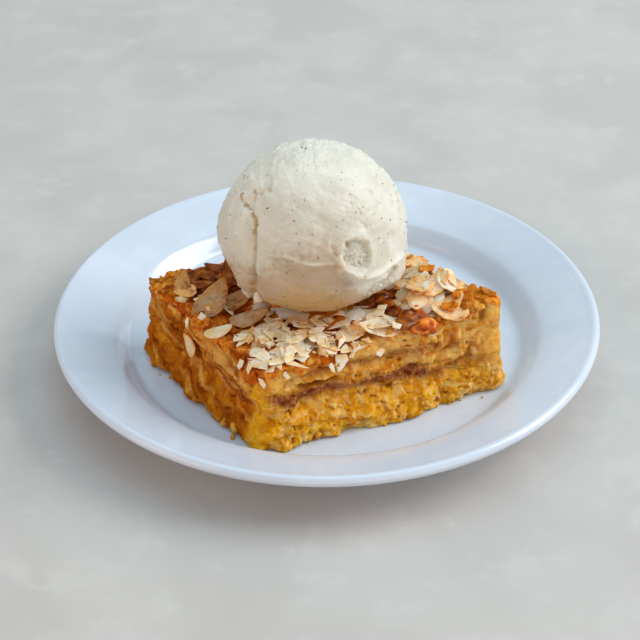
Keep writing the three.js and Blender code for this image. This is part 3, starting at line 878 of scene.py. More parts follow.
# %% The form of the side
def side_form(x, y, z, left):
    """How far each point stands out in mm, how much painted shade it gets in creases, crevices, the split and
    the fold, and how pale its bread is.
    """
    relief, hollow, pale = torn(x, y, z, left, RISE)
    below = top_height(x, y) - z
    smooth = corner_ridge(x, y, z)
    upright = upright_at(z)
    streaks = 0.5 * noise(AROUND / 2.6, 0.5, z / 16) + 0.15 * noise(AROUND / 0.8, 7.5, z / 7)
    relief = relief * (1 - 0.6 * smooth) * (1 - 0.85 * upright) + streaks * upright
    cut = sum(crevice(x, z, *sizes) for sizes in CREVICES) * front_share(y, left)
    split = 0.8 * bell(AROUND - RIGHT_CORNER + 14.5 - noise(0.5, 0.5, z / 4), 1.2) * soft_step(z, 14, 24)
    parted = soft_step(noise(x / 9, y / 9, 1.5), -0.2, 0.6)
    seam_gap = 0.6 * bell(z - seam_middle(x, y), 1.5) * parted
    lean = FLARE * (1 - (z - FLOOR_TOP) / CORNER_HEIGHTS[1]) - FLARE / 2
    straight = 1 - 0.8 * upright - 0.5 * bell(AROUND - LEFT_START, 12)
    shoulder = -1.5 * np.clip(1 - below / 1.8, 0, 1) ** 2.2
    ledge = 0.6 * soft_step(below, 2.8, 1.7) * (0.5 + 0.5 * noise(x / 3, y / 3, 8.8))
    bite = 2.2 * soft_step(noise(x / 4.2, y / 4.2, 6.6), 0.15, 0.8) * soft_step(FLOOR_TOP + 4.5 - z, 0, 3.5)
    rounded = -0.9 * soft_step(FLOOR_TOP + 1.6 - z, 0, 1.6)
    out = lean + crag(x, y, z) * straight + relief + shoulder + ledge + rounded
    out = out - bite - seam_gap - cut - split - 1.2 * fold_at(z) + foot_spread(AROUND, z)
    # painted shade: darker in creases, crevices, the split and the fold, less on the smooth ridge and upright
    # corner
    hollow = hollow * (1 - 0.6 * upright) * (1 - 0.95 * smooth) + 0.6 * cut + 0.5 * split + fold_at(z)
    return out, np.clip(hollow, 0, 1), pale


print("the wet foot has spread by up to", max(out for _, out in SPREAD), "mm")


# %% The colours of the side
def browned_at(x, y, z, left):
    """How far toast and melted sugar have run down from the crust, from 0 to 1."""
    run = 2.2 + 2.2 * noise(x / 6, y / 6, z / 9)
    run = run + 3.5 * left * soft_step(noise(x / 3.1, y / 3.1, 1.1), -0.3, 0.6)
    run = run + 5.0 * closeness(x, y, SUGAR_RUN, 6) * (1 + noise(x / 2, y / 2, 3.3))
    ragged = run + 0.8 * noise(x / 1.5, y / 1.5, z / 1.5)
    browned = soft_step(ragged - (top_height(x, y) - z), -1.3, 1.3)
    return browned * (1 - 0.8 * fold_at(z)) * (1 - 0.8 * worn_crust_and_lit_shoulder(x, y))


def side_values(x, y, z, left, hollow, pale):
    """The values that the finish turns into colour."""
    low = 1 - soft_step(z, 12, 24)
    smooth = corner_ridge(x, y, z)
    upright = upright_at(z)
    front = front_share(y, left)
    browned = browned_at(x, y, z, left)
    spared = left * soft_step(z, 23, 30) * soft_step(noise(x / 7, y / 7 + 4, (z - RISE) / 4), -0.1, 0.4)
    pale = np.maximum(pale, 0.8 * spared)
    # pale crumb where the crust has worn off, raised further as painted light on the shaded shoulder there
    pale = np.maximum(pale, 0.9 * worn_crust_and_lit_shoulder(x, y) * soft_step(z, 30, 36))
    # paler near the top of the front face: partly paler bread, partly painted light against the shade of the
    # crevice under the crust
    pale = pale + 0.25 * soft_step(z, 26, 31) * front * soft_step(noise(x / 3, y / 3, z / 1.6), -0.4, 0.3)
    patched = front * soft_step(x, 24, 36) * (1 - upright) * soft_step(z, 14, 29)
    pale = pale + 0.7 * patched * soft_step(noise(x / 1.8 + 7, y / 1.8, z / 1.4), 0.1, 0.35)
    soaked = left * (1 - smooth) * (0.88 + 0.35 * low + 0.8 * noise(x / 5, y / 5, (z - RISE) / 2.3))
    syrup = np.maximum(soaked * (1 - 0.6 * pale), caramelised(x, y) * browned)
    syrup = np.maximum(syrup, 0.6 * patched * soft_step(noise(x / 2.4, y / 2.4 + 5, z / 2), 0.05, 0.35))
    return {
        "hollow": hollow,
        "browned": browned,
        "stain": stain_at(x, y, z, left, RISE) * (1 - 0.7 * upright),
        "golden": golden_at(x, y, z, left, RISE) * (1 - 0.8 * upright),
        "pale": pale * (1 - 0.6 * low * left) * (1 - smooth) * (1 - 0.6 * upright) + 0.35 * upright,
        "syrup": np.clip(syrup, 0, 2),
    }


def side_grid(bottom, top, rows):
    """Points of the side between two heights, with the values that the finish needs."""
    share = np.asarray(rows)[:, None]
    z = bottom * (1 - share) + top * share
    x, y = (np.broadcast_to(EDGE[:, n], z.shape) for n in (0, 1))
    left = np.broadcast_to(LEFT, z.shape)
    out, hollow, pale = side_form(x, y, z, left)
    points = np.stack([x + FACING[:, 0] * out, y + FACING[:, 1] * out, z], -1)
    return points, side_values(x, y, z, left, hollow, pale)


def inner_ring(share, height, every=1):
    """The outline drawn in towards the middle, with every point or every so many."""
    at = MIDDLE + (EDGE[::every] - MIDDLE) * share
    return np.column_stack([at, height(at[:, 0], at[:, 1])])


def pole(height):
    """The one point in the middle where rings close."""
    return np.array([[*MIDDLE, float(height(*MIDDLE))]])


print("rings close at", [round(float(place), 1) for place in MIDDLE])


# %% [markdown]
# ## Finishes for the bread
# All three layers are the same bread with the same custard, so one node group holds the whole recipe and the
# seam melts into its neighbours. Its steps mostly follow the baking: straw-coloured bread, golden custard where
# the stored share says so, pale lumps that the custard hardly reached with pale specks that are painted wet
# highlights, cinnamon brown near the seam, painted brown shade in creases and crevices, toast where the oven
# reached, and syrup over it all. Syrup up to 1 is amber, sunk in on the left or melted on the crust, and from
# 1 to 2 it is burnt brown.
#
# Each layer's own material then says how wet and how see-through it is. Custard lets light in a little way,
# which subsurface scattering gives, and its wet film is a coat whose weight varies from place to place. Where
# syrup has sunk in, the film is thinner.


# %% Finishes for the bread
BREAD_VALUES = ("golden", "stain", "hollow", "browned", "pale", "syrup")  # stored on the mesh, point by point


def make_bread_recipe():
    takes = [(kind.title(), "Float", 0.0) for kind in BREAD_VALUES]
    gives = [("Color", "Color"), ("Wet", "Float"), ("Height", "Float")]
    group, entry, leave = new_group("soaked bread", takes, gives)
    straw = mottled(group, 5.5, deep="cb760a", body="f0a022", pale="f9c966", pale_share=0.4)
    gold = mottled(group, 4.5, deep="c47806", body="e6a00e", pale="f0bc42", pale_share=0.4)
    cinnamon = mottled(group, 3.0, deep="703210", body="9a5626", pale="bd845c", pale_share=0.45)
    toast = mottled(group, 4.0, deep="a04a06", body="ee8c1e", pale="fdbc56", pale_share=0.5)
    colour = mixed(group, entry["Golden"], straw, gold)
    # pale lumps, and the pale specks that are painted wet highlights
    colour = mixed(group, maths(group, "MULTIPLY", entry["Pale"], 0.75), colour, tone("f3c976"))
    colour = mixed(group, entry["Stain"], colour, cinnamon)
    # painted shade: deep brown in the creases and crevices
    colour = with_painted_shade(group, colour, "8c4204", entry["Hollow"])
    colour = mixed(group, entry["Browned"], colour, toast)
    colour = mixed(group, ramp(group, entry["Syrup"], 0, 1, 0, 0.85), colour, tone("c68c20"), "MULTIPLY")
    colour = mixed(group, ramp(group, entry["Syrup"], 1, 2, 0, 0.9), colour, tone("8c6c44"), "MULTIPLY")
    wet = ramp(group, drift_over(group, 420.0, Detail=2.0), 0.5, 0.64)
    wire(group, leave, {"Color": colour, "Wet": wet, "Height": fine_grain(group, 0.8)})
    return group


BREAD_RECIPE = make_bread_recipe()


def make_bread(name, wetness, glow):
    finish, tree, shader = new_finish(
        name, Subsurface_Weight=glow, Subsurface_Scale=0.003, Coat_Roughness=0.1, Specular_IOR_Level=0.02
    )
    shader.inputs["Subsurface Radius"].default_value = (1.0, 0.5, 0.15)
    values = {kind.title(): stored(tree, kind) for kind in BREAD_VALUES}
    recipe = use_group(tree, BREAD_RECIPE, values)
    film = ramp(tree, recipe["Wet"], 0, 1, 0.0, wetness)
    sunk_in = maths(tree, "SUBTRACT", values["Syrup"], values["Browned"])
    wire(tree, shader, {
        "Base Color": recipe["Color"],
        "Coat Weight": maths(tree, "MULTIPLY", film, ramp(tree, sunk_in, 0, 1, 1.0, 0.2)),
        "Roughness": ramp(tree, recipe["Wet"], 0, 1, 0.62, 0.4),
        "Normal": bump(tree, recipe["Height"], 0.12),
    })
    return finish


CUSTARD_BREAD = make_bread("custard_bread", wetness=0.5, glow=0.35)
SEAM_BREAD = make_bread("cinnamon_seam", wetness=0.4, glow=0.3)
CRUST_BREAD = make_bread("crust_bread", wetness=0.3, glow=0.3)
print("bread finishes:", CUSTARD_BREAD.name, SEAM_BREAD.name, CRUST_BREAD.name)

# %% [markdown]
# ## Custard bread, seam and upper bread
# Each layer is a skin: a pole under it, a few coarse rings where nobody looks, the fine rows of the side, and
# rings across its top. The upper bread keeps fine rings across the crust, and lets them get coarser under the
# ball. A hair's breadth parts the layers, so that their skins don't flicker through each other.


# %% The three layers
HAIR = 0.04  # half of the parting between two layers
CUSTARD_ROWS = 50
SEAM_ROWS = 11
CRUST_ROWS = 46


def slice_base(x, y):
    return FLOOR_TOP + GAP + 0 * x


def seam_base(x, y):
    return seam_height(x, y, SEAM_BASE)


def seam_top(x, y):
    return seam_height(x, y, SEAM_TOP)


def raised(height, by):
    return lambda x, y: height(x, y) + by


def hidden_top(top):
    """Coarse rings over a layer that another one covers."""
    return lambda last: [inner_ring(0.93, top, 2), inner_ring(0.45, top, 4), pole(top)]


def crust_rings(last):
    """Rings over the crust, fine at the edge and coarser under the ball."""
    rings = []
    for share in [*np.linspace(0.99, 0.6, 38), *np.linspace(0.585, 0.3, 22), *np.linspace(0.27, 0.05, 8)]:
        every = 1 if share >= 0.6 else (2 if share >= 0.3 else 4)
        at = MIDDLE + (last[::every, :2] - MIDDLE) * share
        rings.append(np.column_stack([at, top_height(at[:, 0], at[:, 1])]))
    return [*rings, pole(top_height)]


def layer_piece(name, bottom, top, rows, over, finish, node, crust=0.0):
    """A layer from its underside's pole, up its side, and over its top. over gives the rings of that top, and
    crust is 1 where it is the crust."""
    x, y = EDGE.T
    side, values = side_grid(bottom(x, y), top(x, y), np.linspace(0, 1, rows))
    under = [pole(bottom), inner_ring(0.45, bottom, 4), inner_ring(0.93, bottom, 2)]
    rings = [*under, *side, *over(side[-1])]
    points = np.concatenate(rings)
    before = sum(len(ring) for ring in under)
    over_top = before + rows * COLUMNS
    layer_values = {title: np.zeros(len(points)) for title in values}
    for title, numbers in values.items():
        layer_values[title][before:over_top] = numbers.ravel()
    top_x, top_y = points[over_top:, :2].T
    layer_values["browned"][over_top:] = crust * (1 - 0.8 * worn_crust_and_lit_shoulder(top_x, top_y))
    # pale crumb where the crust has worn off, partly painted light on the shaded shoulder there
    layer_values["pale"][over_top:] = 0.9 * crust * worn_crust_and_lit_shoulder(top_x, top_y)
    layer_values["syrup"][over_top:] = crust * caramelised(top_x, top_y)
    make_piece(name, points, skin(rings), finish, [node], layer_values)


layer_piece(
    "custard_bread", slice_base, raised(seam_base, -HAIR), CUSTARD_ROWS, hidden_top(seam_base),
    CUSTARD_BREAD, "lower_bread",
)
layer_piece(
    "seam_bread", raised(seam_base, HAIR), raised(seam_top, -HAIR), SEAM_ROWS, hidden_top(seam_top),
    SEAM_BREAD, "cinnamon_seam",
)
layer_piece(
    "crusted_bread", raised(seam_top, HAIR), top_height, CRUST_ROWS, crust_rings,
    CRUST_BREAD, "upper_bread", crust=1.0,
)

# %% [markdown]
# ## Crumbs
# Bits of custard bread cling to the foot of the slice, and smaller ones lie on the plate beside it. Each is a
# small lumpy ball: a few rings of points whose distance from the middle drifts with noise. They are all
# joined in one mesh, because two dozen separate objects would only slow the scene down.


# %% Crumbs
def lump(radius, seed, around=12, rings=7, rough=0.45):
    """A small uneven ball round the origin."""
    angle = np.arange(around) * 2 * math.pi / around
    made = []
    for lift in np.linspace(-math.pi / 2, math.pi / 2, rings + 2):
        flat = math.cos(lift)
        turns = angle if flat > 1e-6 else angle[:1]
        ring = np.stack([flat * np.cos(turns), flat * np.sin(turns), 0 * turns + math.sin(lift)], 1)
        uneven = 1 + rough * noise(ring[:, 0] * 1.4 + seed, ring[:, 1] * 1.4, ring[:, 2] * 1.4)
        made.append(ring * uneven[:, None] * radius)
    return made


CRUMB_COUNT = 9  # the large ones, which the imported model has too
CRUMB_RADIUS = 1.6
LEFT_STRETCH = 0.35 * EDGE_LENGTHS[3]
CRUMB_RUN = LEFT_STRETCH + 0.8 * EDGE_LENGTHS[0]
FINE_CRUMBS = 16


def bread_values(**known):
    """Values for a bread finish: 0 where nothing is known."""
    return {**dict.fromkeys(BREAD_VALUES, 0.0), **known}


def put_crumb(pile, at, radius, height, seed):
    rings = lump(radius, seed)
    points = np.concatenate(rings) + [at[0], at[1], height]
    own = float(lattice(seed, 1, 2))
    pile.put(points, skin(rings), **bread_values(golden=0.7 + 0.3 * own, pale=0.5 * own, hollow=0.1))


crumbs = Pile()
for n in range(CRUMB_COUNT):
    distance = PERIMETER - LEFT_STRETCH + CRUMB_RUN * (n + 0.8 * lattice(n, 2, 5)) / CRUMB_COUNT
    radius = CRUMB_RADIUS * (0.8 + 0.5 * lattice(n, 7, 1))
    at = outline(distance) + outwards(distance) * (foot_spread(distance, FLOOR_TOP) - 0.4 * radius)
    put_crumb(crumbs, at, radius, FLOOR_TOP + GAP + 1.1 * radius, n)
for n in range(FINE_CRUMBS):
    distance = LEFT_START + (EDGE_LENGTHS[3] + EDGE_LENGTHS[0]) * lattice(n, 3, 8)
    radius = 0.3 + 0.7 * lattice(n, 5, 8) ** 2
    away = foot_spread(distance, FLOOR_TOP) + 2.4 * lattice(n, 9, 8) ** 3
    put_crumb(crumbs, outline(distance) + outwards(distance) * away, radius, FLOOR_TOP + 0.8 * radius, n + 40)
crumbs.piece("crumbs", CUSTARD_BREAD, "custard_bread", ["lower_bread"])

# %% [markdown]
# ## Almond flakes
# A flaked almond is a slice of the nut less than a millimetre thick: an oval that is pointed at one end, with
# a wavy edge, a slight dish, and here and there a snapped side. `flake` makes one as a skin over itself, with
# a rounded rim. `frame_of` turns it to lie along a surface.
#
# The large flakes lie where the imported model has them. The others have to lie on something, so `Heap` keeps a
# map of the heights so far: each new flake finds the slope under it, settles on the highest spots, and raises
# the map. A physics run could drop them instead, but it would take minutes and come out differently each
# time.

# %% One flake
FLAKE_SIDES = 28
FLAKE_SHARES = (0.5, 0.94, 0.985)  # rings across a flake, from the middle out


def oval(length, width, seed, ragged, point=0.34):
    """The outline of a whole slice. point is how much narrower it is towards +X."""
    angle = np.arange(FLAKE_SIDES) * 2 * math.pi / FLAKE_SIDES
    c, s = np.cos(angle), np.sin(angle)
    wavy = 1 + ragged * noise(2.1 * c + seed, 2.1 * s, 0.5) + 0.6 * ragged * noise(5 * c + seed, 5 * s, 3.5)
    return np.stack([length / 2 * c * wavy, width / 2 * s * (1 - point * c) * wavy], 1)


def shard(length, width, seed):
    """The outline of a broken piece: nearly straight sides between three to six sharp corners."""
    corners = 3 + int(4 * lattice(seed, 1, 3))
    k = np.arange(corners)
    angle = (k + 0.7 * lattice(k, seed, 5)) * 2 * math.pi / corners
    reach = 0.6 + 0.5 * lattice(k, seed, 9)
    at = np.stack([length / 2 * np.cos(angle), width / 2 * np.sin(angle)], 1) * reach[:, None]
    along = np.arange(FLAKE_SIDES) * corners / FLAKE_SIDES
    nearest = np.round(along)
    along = np.where(np.abs(along - nearest) < 0.5 * corners / FLAKE_SIDES, nearest, along)
    first = along.astype(int)
    share = (along - first)[:, None]
    rim = at[first % corners] * (1 - share) + at[(first + 1) % corners] * share
    return rim * (1 + 0.1 * noise(rim[:, 0] / 0.7 + seed, rim[:, 1] / 0.7, 0.5))[:, None]


def flake(length, width, thick, seed, ragged=0.07, bend=0.08, snapped=0.0, broken=False, point=0.34):
    """An almond slice in the XY plane. Gives its rings and how near the rim each point is."""
    rim = shard(length, width, seed) if broken else oval(length, width, seed, ragged, point)
    if snapped:
        cut = length * (0.5 - snapped)
        rim[:, 0] = np.minimum(rim[:, 0], cut + 0.1 * length * noise(rim[:, 1] / 1.5, seed, 0.5))

    def ring(share, height):
        flat = rim * share
        dish = bend * length * (flat[:, 0] / length) ** 2 * 4
        twist = 0.25 * bend * flat[:, 0] * flat[:, 1] / width
        return np.column_stack([flat, dish + twist + height])

    half = thick / 2
    fall = [half, half * 0.97, half * 0.7]
    below = [ring(share, -drop) for share, drop in zip(FLAKE_SHARES, fall)]
    above = [ring(share, drop) for share, drop in zip(FLAKE_SHARES, fall)]
    rings = [np.array([[0, 0, -half]]), *below, ring(1, 0), *above[::-1], np.array([[0, 0, half]])]
    shares = [0, *FLAKE_SHARES, 1, *FLAKE_SHARES[::-1], 0]
    near_rim = np.concatenate([np.full(len(r), soft_step(share, 0.5, 1)) for r, share in zip(rings, shares)])
    return rings, near_rim


def turn_z(degrees):
    """A turn about the upright axis."""
    a = math.radians(degrees)
    return np.array([[math.cos(a), -math.sin(a), 0], [math.sin(a), math.cos(a), 0], [0, 0, 1]])


def raise_tip(degrees):
    """A tilt that lifts the narrow end."""
    a = math.radians(degrees)
    return np.array([[math.cos(a), 0, -math.sin(a)], [0, 1, 0], [math.sin(a), 0, math.cos(a)]])


def frame_of(normal, heading):
    """Axes of something that lies on a surface with this normal: its length, its width, and away from it."""
    up = np.asarray(normal, float) / np.linalg.norm(normal)
    side = np.cross(up, turn_z(heading) @ [1, 0, 0])
    side = side / np.linalg.norm(side)
    return np.column_stack([np.cross(side, up), side, up])


print("points in one flake:", sum(len(ring) for ring in flake(14, 8, 0.5, seed=1)[0]))


# %% A heap of flakes
STEEPEST = 0.6  # the steepest slope that a flake lies on before it slips level


class Heap:
    """A map of the height of what lies on the crust, in 1 mm squares."""

    LOW = -80  # x and y where the map starts
    CELLS = 160

    def __init__(self):
        middle = np.arange(self.CELLS) + self.LOW + 0.5
        x, y = np.meshgrid(middle, middle, indexing="ij")
        self.height = top_height(x, y)

    def squares(self, at):
        """The squares of the map that places are in."""
        found = np.floor(at - self.LOW).astype(int)
        return tuple(np.clip(found, 0, self.CELLS - 1).T)

    def under(self, at):
        """The heights of the heap at places."""
        return self.height[self.squares(at)]

    def cover(self, points):
        """Raises the map to the points of what has been laid."""
        np.maximum.at(self.height, self.squares(points[:, :2]), points[:, 2])

    def rest(self, x, y, heading, length, width, thick, extra_tilt=0.0, settle=70):
        """Where a flake comes to rest: its axes and its middle. settle is the share of the spots under it, in
        percent, that it lies above."""
        u, v = np.meshgrid(np.linspace(-0.42, 0.42, 7), np.linspace(-0.36, 0.36, 5))
        inside = (u / 0.5) ** 2 + (v / 0.5) ** 2 < 1
        local = np.stack([u[inside] * length, v[inside] * width], 1) @ turn_z(heading)[:2, :2].T
        heights = self.under(local + [x, y])
        terms = np.column_stack([local, np.ones(len(local))])
        slope_x, slope_y, middle = np.linalg.lstsq(terms, heights, rcond=None)[0]
        ease = min(1.0, STEEPEST / max(math.hypot(slope_x, slope_y), 1e-6))
        slope_x, slope_y = slope_x * ease, slope_y * ease
        above = heights - (local @ [slope_x, slope_y] + middle)
        axes = frame_of((-slope_x, -slope_y, 1), heading) @ raise_tip(extra_tilt)
        rise = np.percentile(above, settle) + thick / 2 - 0.1
        rise = rise + 0.25 * length * math.sin(math.radians(extra_tilt))
        return axes, np.array([x, y, middle + rise])


def clear_of_ball(points, gap=0.5):
    """True if no point lies inside the ball of ice cream or under its seat."""
    offset = points - BALL_CENTRE
    offset = offset * np.where(offset[:, 2:] < 0, [[1, 1, BALL_RADIUS / BALL_UNDERSIDE]], 1)
    over_seat = np.hypot(offset[:, 0], offset[:, 1]) < SEAT_RADIUS - 1
    return not (np.linalg.norm(offset, axis=1) < BALL_RADIUS + gap).any() and not over_seat.any()


HEAP = Heap()
print("the crust is", [round(float(end), 1) for end in (HEAP.height.min(), HEAP.height.max())], "mm high")


# %% [markdown]
# ## Finishes for almonds and caramel
# Almond flesh is ivory, and in the oven it turns golden from the rim inwards, some flakes far more than
# others. The shaping code stores three values: how near the rim a point is, how toasted its flake is, on the
# left partly as painted shade, and a tone. From 0 to 1 the tone is a small random difference; up to 3 it is
# painted shade, greyer and darker, on the few large flakes that the ball shades on its left. Where sugar has
# melted over nuts it sets to caramel: dark brown where the tone is 0, clear amber where it is 1.


# %% Finishes for almonds and caramel
def make_almond():
    finish, tree, shader = new_finish(
        "almond", Subsurface_Weight=0.25, Subsurface_Scale=0.0012, Coat_Roughness=0.25, Coat_Weight=0.06,
        Specular_IOR_Level=0.3,
    )
    shader.inputs["Subsurface Radius"].default_value = (1.0, 0.7, 0.4)
    ivory = mottled(tree, 5.0, deep="fbd49a", body="ffe9c6", pale="fff6e4", pale_share=0.6)
    gold = mottled(tree, 3.0, deep="c06c1e", body="fab660", pale="ffd490", pale_share=0.45)
    drift = drift_over(tree, 330.0, Detail=3.0)
    heat = maths(tree, "ADD", stored(tree, "toast"), maths(tree, "MULTIPLY", stored(tree, "rim"), 0.25))
    heat = maths(tree, "ADD", heat, maths(tree, "MULTIPLY", maths(tree, "SUBTRACT", drift, 0.5), 1.1))
    colour = mixed(tree, ramp(tree, heat, 0.3, 0.95), ivory, gold)
    # painted shade: tones above 0.5 turn a flake greyer and darker
    painted_flake_shade = ramp(tree, stored(tree, "tone"), 0.5, 3, 0.0, 0.75)
    wire(tree, shader, {
        "Base Color": mixed(tree, painted_flake_shade, colour, tone("a8997a"), "MULTIPLY"),
        "Roughness": ramp(tree, drift, 0.3, 0.7, 0.42, 0.6),
        "Normal": bump(tree, fine_grain(tree, 1.4), 0.1),
    })
    return finish


def make_caramel():
    finish, tree, shader = new_finish(
        "caramel", Subsurface_Weight=0.25, Subsurface_Scale=0.002, Coat_Roughness=0.05, Specular_IOR_Level=0.1
    )
    shader.inputs["Subsurface Radius"].default_value = (1.0, 0.35, 0.08)
    burnt = mottled(tree, 4.0, deep="4c1c02", body="843c06", pale="ac661c", pale_share=0.3)
    amber = mottled(tree, 4.0, deep="bc5004", body="f88410", pale="ffa838", pale_share=0.4)
    grit = fine_grain(tree, 1.6)
    wire(tree, shader, {
        "Base Color": mixed(tree, stored(tree, "tone"), burnt, amber),
        "Coat Weight": ramp(tree, stored(tree, "gloss"), 0, 1, 0.0, 0.45),
        "Roughness": ramp(tree, grit, 0.3, 0.7, 0.3, 0.5),
        "Normal": bump(tree, grit, 0.15),
    })
    return finish


ALMOND = make_almond()
CARAMEL = make_caramel()
print("nut finishes:", ALMOND.name, CARAMEL.name)

# %% [markdown]
# ## Laying the almonds
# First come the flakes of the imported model, in the same places: those that catch the eye, and the scattered
# ones, but for places that stay bare. Then the heap grows: middling flakes all over, broad toasted ones on
# the right, small pale fragments that cover the front, and strays. Every draw comes from `lattice`, so each
# run lays the same heap.

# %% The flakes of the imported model
SHOW_FLAKES = [  # x, y, heading, tilt, length
    (-42, -25, 55, 27, 19), (-54, -11, 82, 40, 10), (-33, -22, 38, 12, 15), (-28, -34, 14, 15, 15),
    (-39, -43, 20, 10, 11), (-21, -39, 30, 10, 12), (-16, -45, 160, 12, 12), (1, -42, 100, 14, 11),
    (9, -47, 15, 12, 13), (20, -34, 150, 16, 17), (28, -24, 160, 14, 17), (38, -23, 140, 14, 15),
    (45, -18, 150, 14, 15), (45, -33, 40, 22, 13), (36, -34, 172, 18, 14), (33, -42, 100, 30, 12),
    (34, -5, 130, 12, 13),
]
BARE_PLACES = [  # x, y, reach
    (*CURL_PLACE, 12), (-43, -3, 13.5), (30, -41, 6), (10.5, -36, 4.5), (-17, -30, 4), (-9, -31.5, 4),
    (19.5, -28.5, 4), (-34, -42, 4), (20, -49, 4),
]
BARE_FROM = 0.37  # flakes keep away where closeness to such a place is above this
FLAKE_COUNT = 52
FLAKE_SPACING = 6.6
FLAKE_LENGTH = 14
FLAKE_WIDTH = 8.2
FLAKE_THICK = 1.3
FLAKE_SINK = 0.45
FLAKE_DRAWS = 17.3  # where in the lattice their draws are made
ALMOND_THICK = 0.5  # a real flake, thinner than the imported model's


def scattered_flakes():
    """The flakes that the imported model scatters: x, y, heading, tilt and length."""
    places = []
    for n in range(900):
        if len(places) == FLAKE_COUNT:
            break
        share = 0.88 * math.sqrt(lattice(n, 1, FLAKE_DRAWS))
        at = MIDDLE + (outline(lattice(n, 2, FLAKE_DRAWS) * PERIMETER) - MIDDLE) * share
        if all(math.hypot(q[0] - at[0], q[1] - at[1]) >= FLAKE_SPACING for q in SHOW_FLAKES + places):
            length = FLAKE_LENGTH * (0.6 + 0.4 * lattice(n, 5, FLAKE_DRAWS))
            places.append((*at, 360 * lattice(n, 3, FLAKE_DRAWS), 16 * lattice(n, 4, FLAKE_DRAWS), length))
    return places


def bare(x, y):
    """True where no flakes lie: at the lifted right corner, round the caramel and the melted cream, on two
    spots by the front edges, and along the far left edge."""
    far_edge = 0.369 * (x + 63.6) - 0.7
    kept_clear = any(closeness(x, y, place, reach) > BARE_FROM for *place, reach in BARE_PLACES)
    return kept_clear or (x < -20 and y > far_edge - 8)


def toast_and_shade_at(x, y):
    """Flakes are paler at the front and more toasted on the right and at the back. On the left they are darker,
    partly toast and partly painted shade where the ball shades them.
    """
    return 0.05 + 0.35 * soft_step(x, -5, 45) + 0.3 * soft_step(y, -35, 0) + 0.45 * soft_step(-x, 16, 34)


BURNT = {1: 0.9, 2: 0.9, 3: 0.55}  # how toasted the flakes by the dark caramel are
SHADED_FLAKES = {0: 3.0, 1: 2.2, 2: 2.2, 3: 2.2}  # and how much painted shade, greyer and darker, the flakes that the ball shades on its left get
GLAZED = 15  # this one has curled and is coated with caramel

flakes = Pile()
caramel = Pile()
laid = 0
for n, (x, y, heading, tilt, length) in enumerate(SHOW_FLAKES + scattered_flakes()):
    lean = math.radians(tilt)
    rings, rim = flake(length, length * FLAKE_WIDTH / FLAKE_LENGTH, ALMOND_THICK, n * 3.7, ragged=0.09)
    rise = math.sin(lean) * length * 0.3 - FLAKE_SINK + FLAKE_THICK / 2
    middle = np.array([x, y, float(crust_top(x, y)) + rise])
    points = np.concatenate(rings) @ (turn_z(heading) @ raise_tip(tilt)).T + middle
    if clear_of_ball(points, 2.0) and (n < len(SHOW_FLAKES) or not bare(x, y)):
        toast = BURNT.get(n, toast_and_shade_at(x, y) * (0.6 + 0.8 * lattice(n, 6, 2)))
        if n == GLAZED:
            caramel.put(points, skin(rings), tone=0.85, gloss=1.0)
        else:
            flakes.put(points, skin(rings), rim=rim, toast=toast, tone=SHADED_FLAKES.get(n, lattice(n, 8, 2)))
        HEAP.cover(points)
        laid += 1
print("flakes of the packed model:", laid)

# %% The rest of the heap
FRONT = (-8, -50)
FRONT_RIGHT = (14, -46)
RIGHT = (37, -24)


def lay(
    pile, count, seed, sizes, chance,
    slim=0.5, toasting=1.0, tilts=12, edge_share=0.93, broken=False, dish=0.05,
):
    """Lays flakes of a range of sizes on the heap. chance(x, y) says how likely each place is, from 0 to 1,
    slim is the narrowest flake's width over its length, and tilts is the most that one is tilted."""
    done = 0
    for n in range(count * 12):
        if done == count:
            break
        u = [float(lattice(n, k, seed)) for k in range(10)]
        x, y = MIDDLE + (outline(u[1] * PERIMETER) - MIDDLE) * edge_share * math.sqrt(u[0])
        if u[2] > chance(x, y) or bare(x, y):
            continue
        length = sizes[0] + (sizes[1] - sizes[0]) * u[3] ** 1.5
        width = length * (slim + 0.22 * u[4])
        snapped = 0.15 + 0.3 * u[5] if u[6] < 0.55 and not broken else 0.0
        thick = ALMOND_THICK * (0.65 if broken else 1)
        rings, rim = flake(length, width, thick, n * 1.7 + seed, 0.2, dish * (0.4 + u[7]), snapped, broken)
        axes, middle = HEAP.rest(x, y, 360 * u[8], length, width, thick, tilts * u[9] ** 1.5, settle=60)
        points = np.concatenate(rings) @ axes.T + middle
        if not clear_of_ball(points):
            continue
        toast = toast_and_shade_at(x, y) * toasting * (0.2 + 1.3 * u[4]) + 0.5 * (broken and u[6] > 0.82)
        pile.put(points, skin(rings), rim=rim, toast=toast, tone=u[5])
        HEAP.cover(points)
        done += 1
    return done


def all_over(x, y):
    return 0.3 + 0.7 * float(soft_step(y, -40, 0))


def on_the_right(x, y):
    return closeness(x, y, RIGHT, 19)


def by_the_front_edge(x, y):
    return max(closeness(x, y, FRONT, 20), 0.8 * closeness(x, y, FRONT_RIGHT, 14))


def strayed(x, y):
    return 0.6 - 0.5 * float(soft_step(x, 5, 25))


fragments = Pile()
laid_count = {
    "middling": lay(flakes, 50, 5.1, (6, 10), all_over, toasting=1.1),
    "broad": lay(flakes, 34, 2.3, (9, 15), on_the_right, slim=0.58, toasting=1.25, tilts=20, dish=0.11),
    "shards": lay(
        fragments, 135, 8.9, (4.4, 12), by_the_front_edge, toasting=0.3, tilts=26, edge_share=1.0, broken=True
    ),
    "strays": lay(fragments, 36, 11.3, (2, 5), strayed, tilts=20, broken=True),
}
print("laid:", laid_count)

# %% [markdown]
# A few almond bits stick to the cut sides, most of them near the front corner, where the knife dragged them
# down. They use the same flake, turned to face outwards and half sunk in the wet bread.

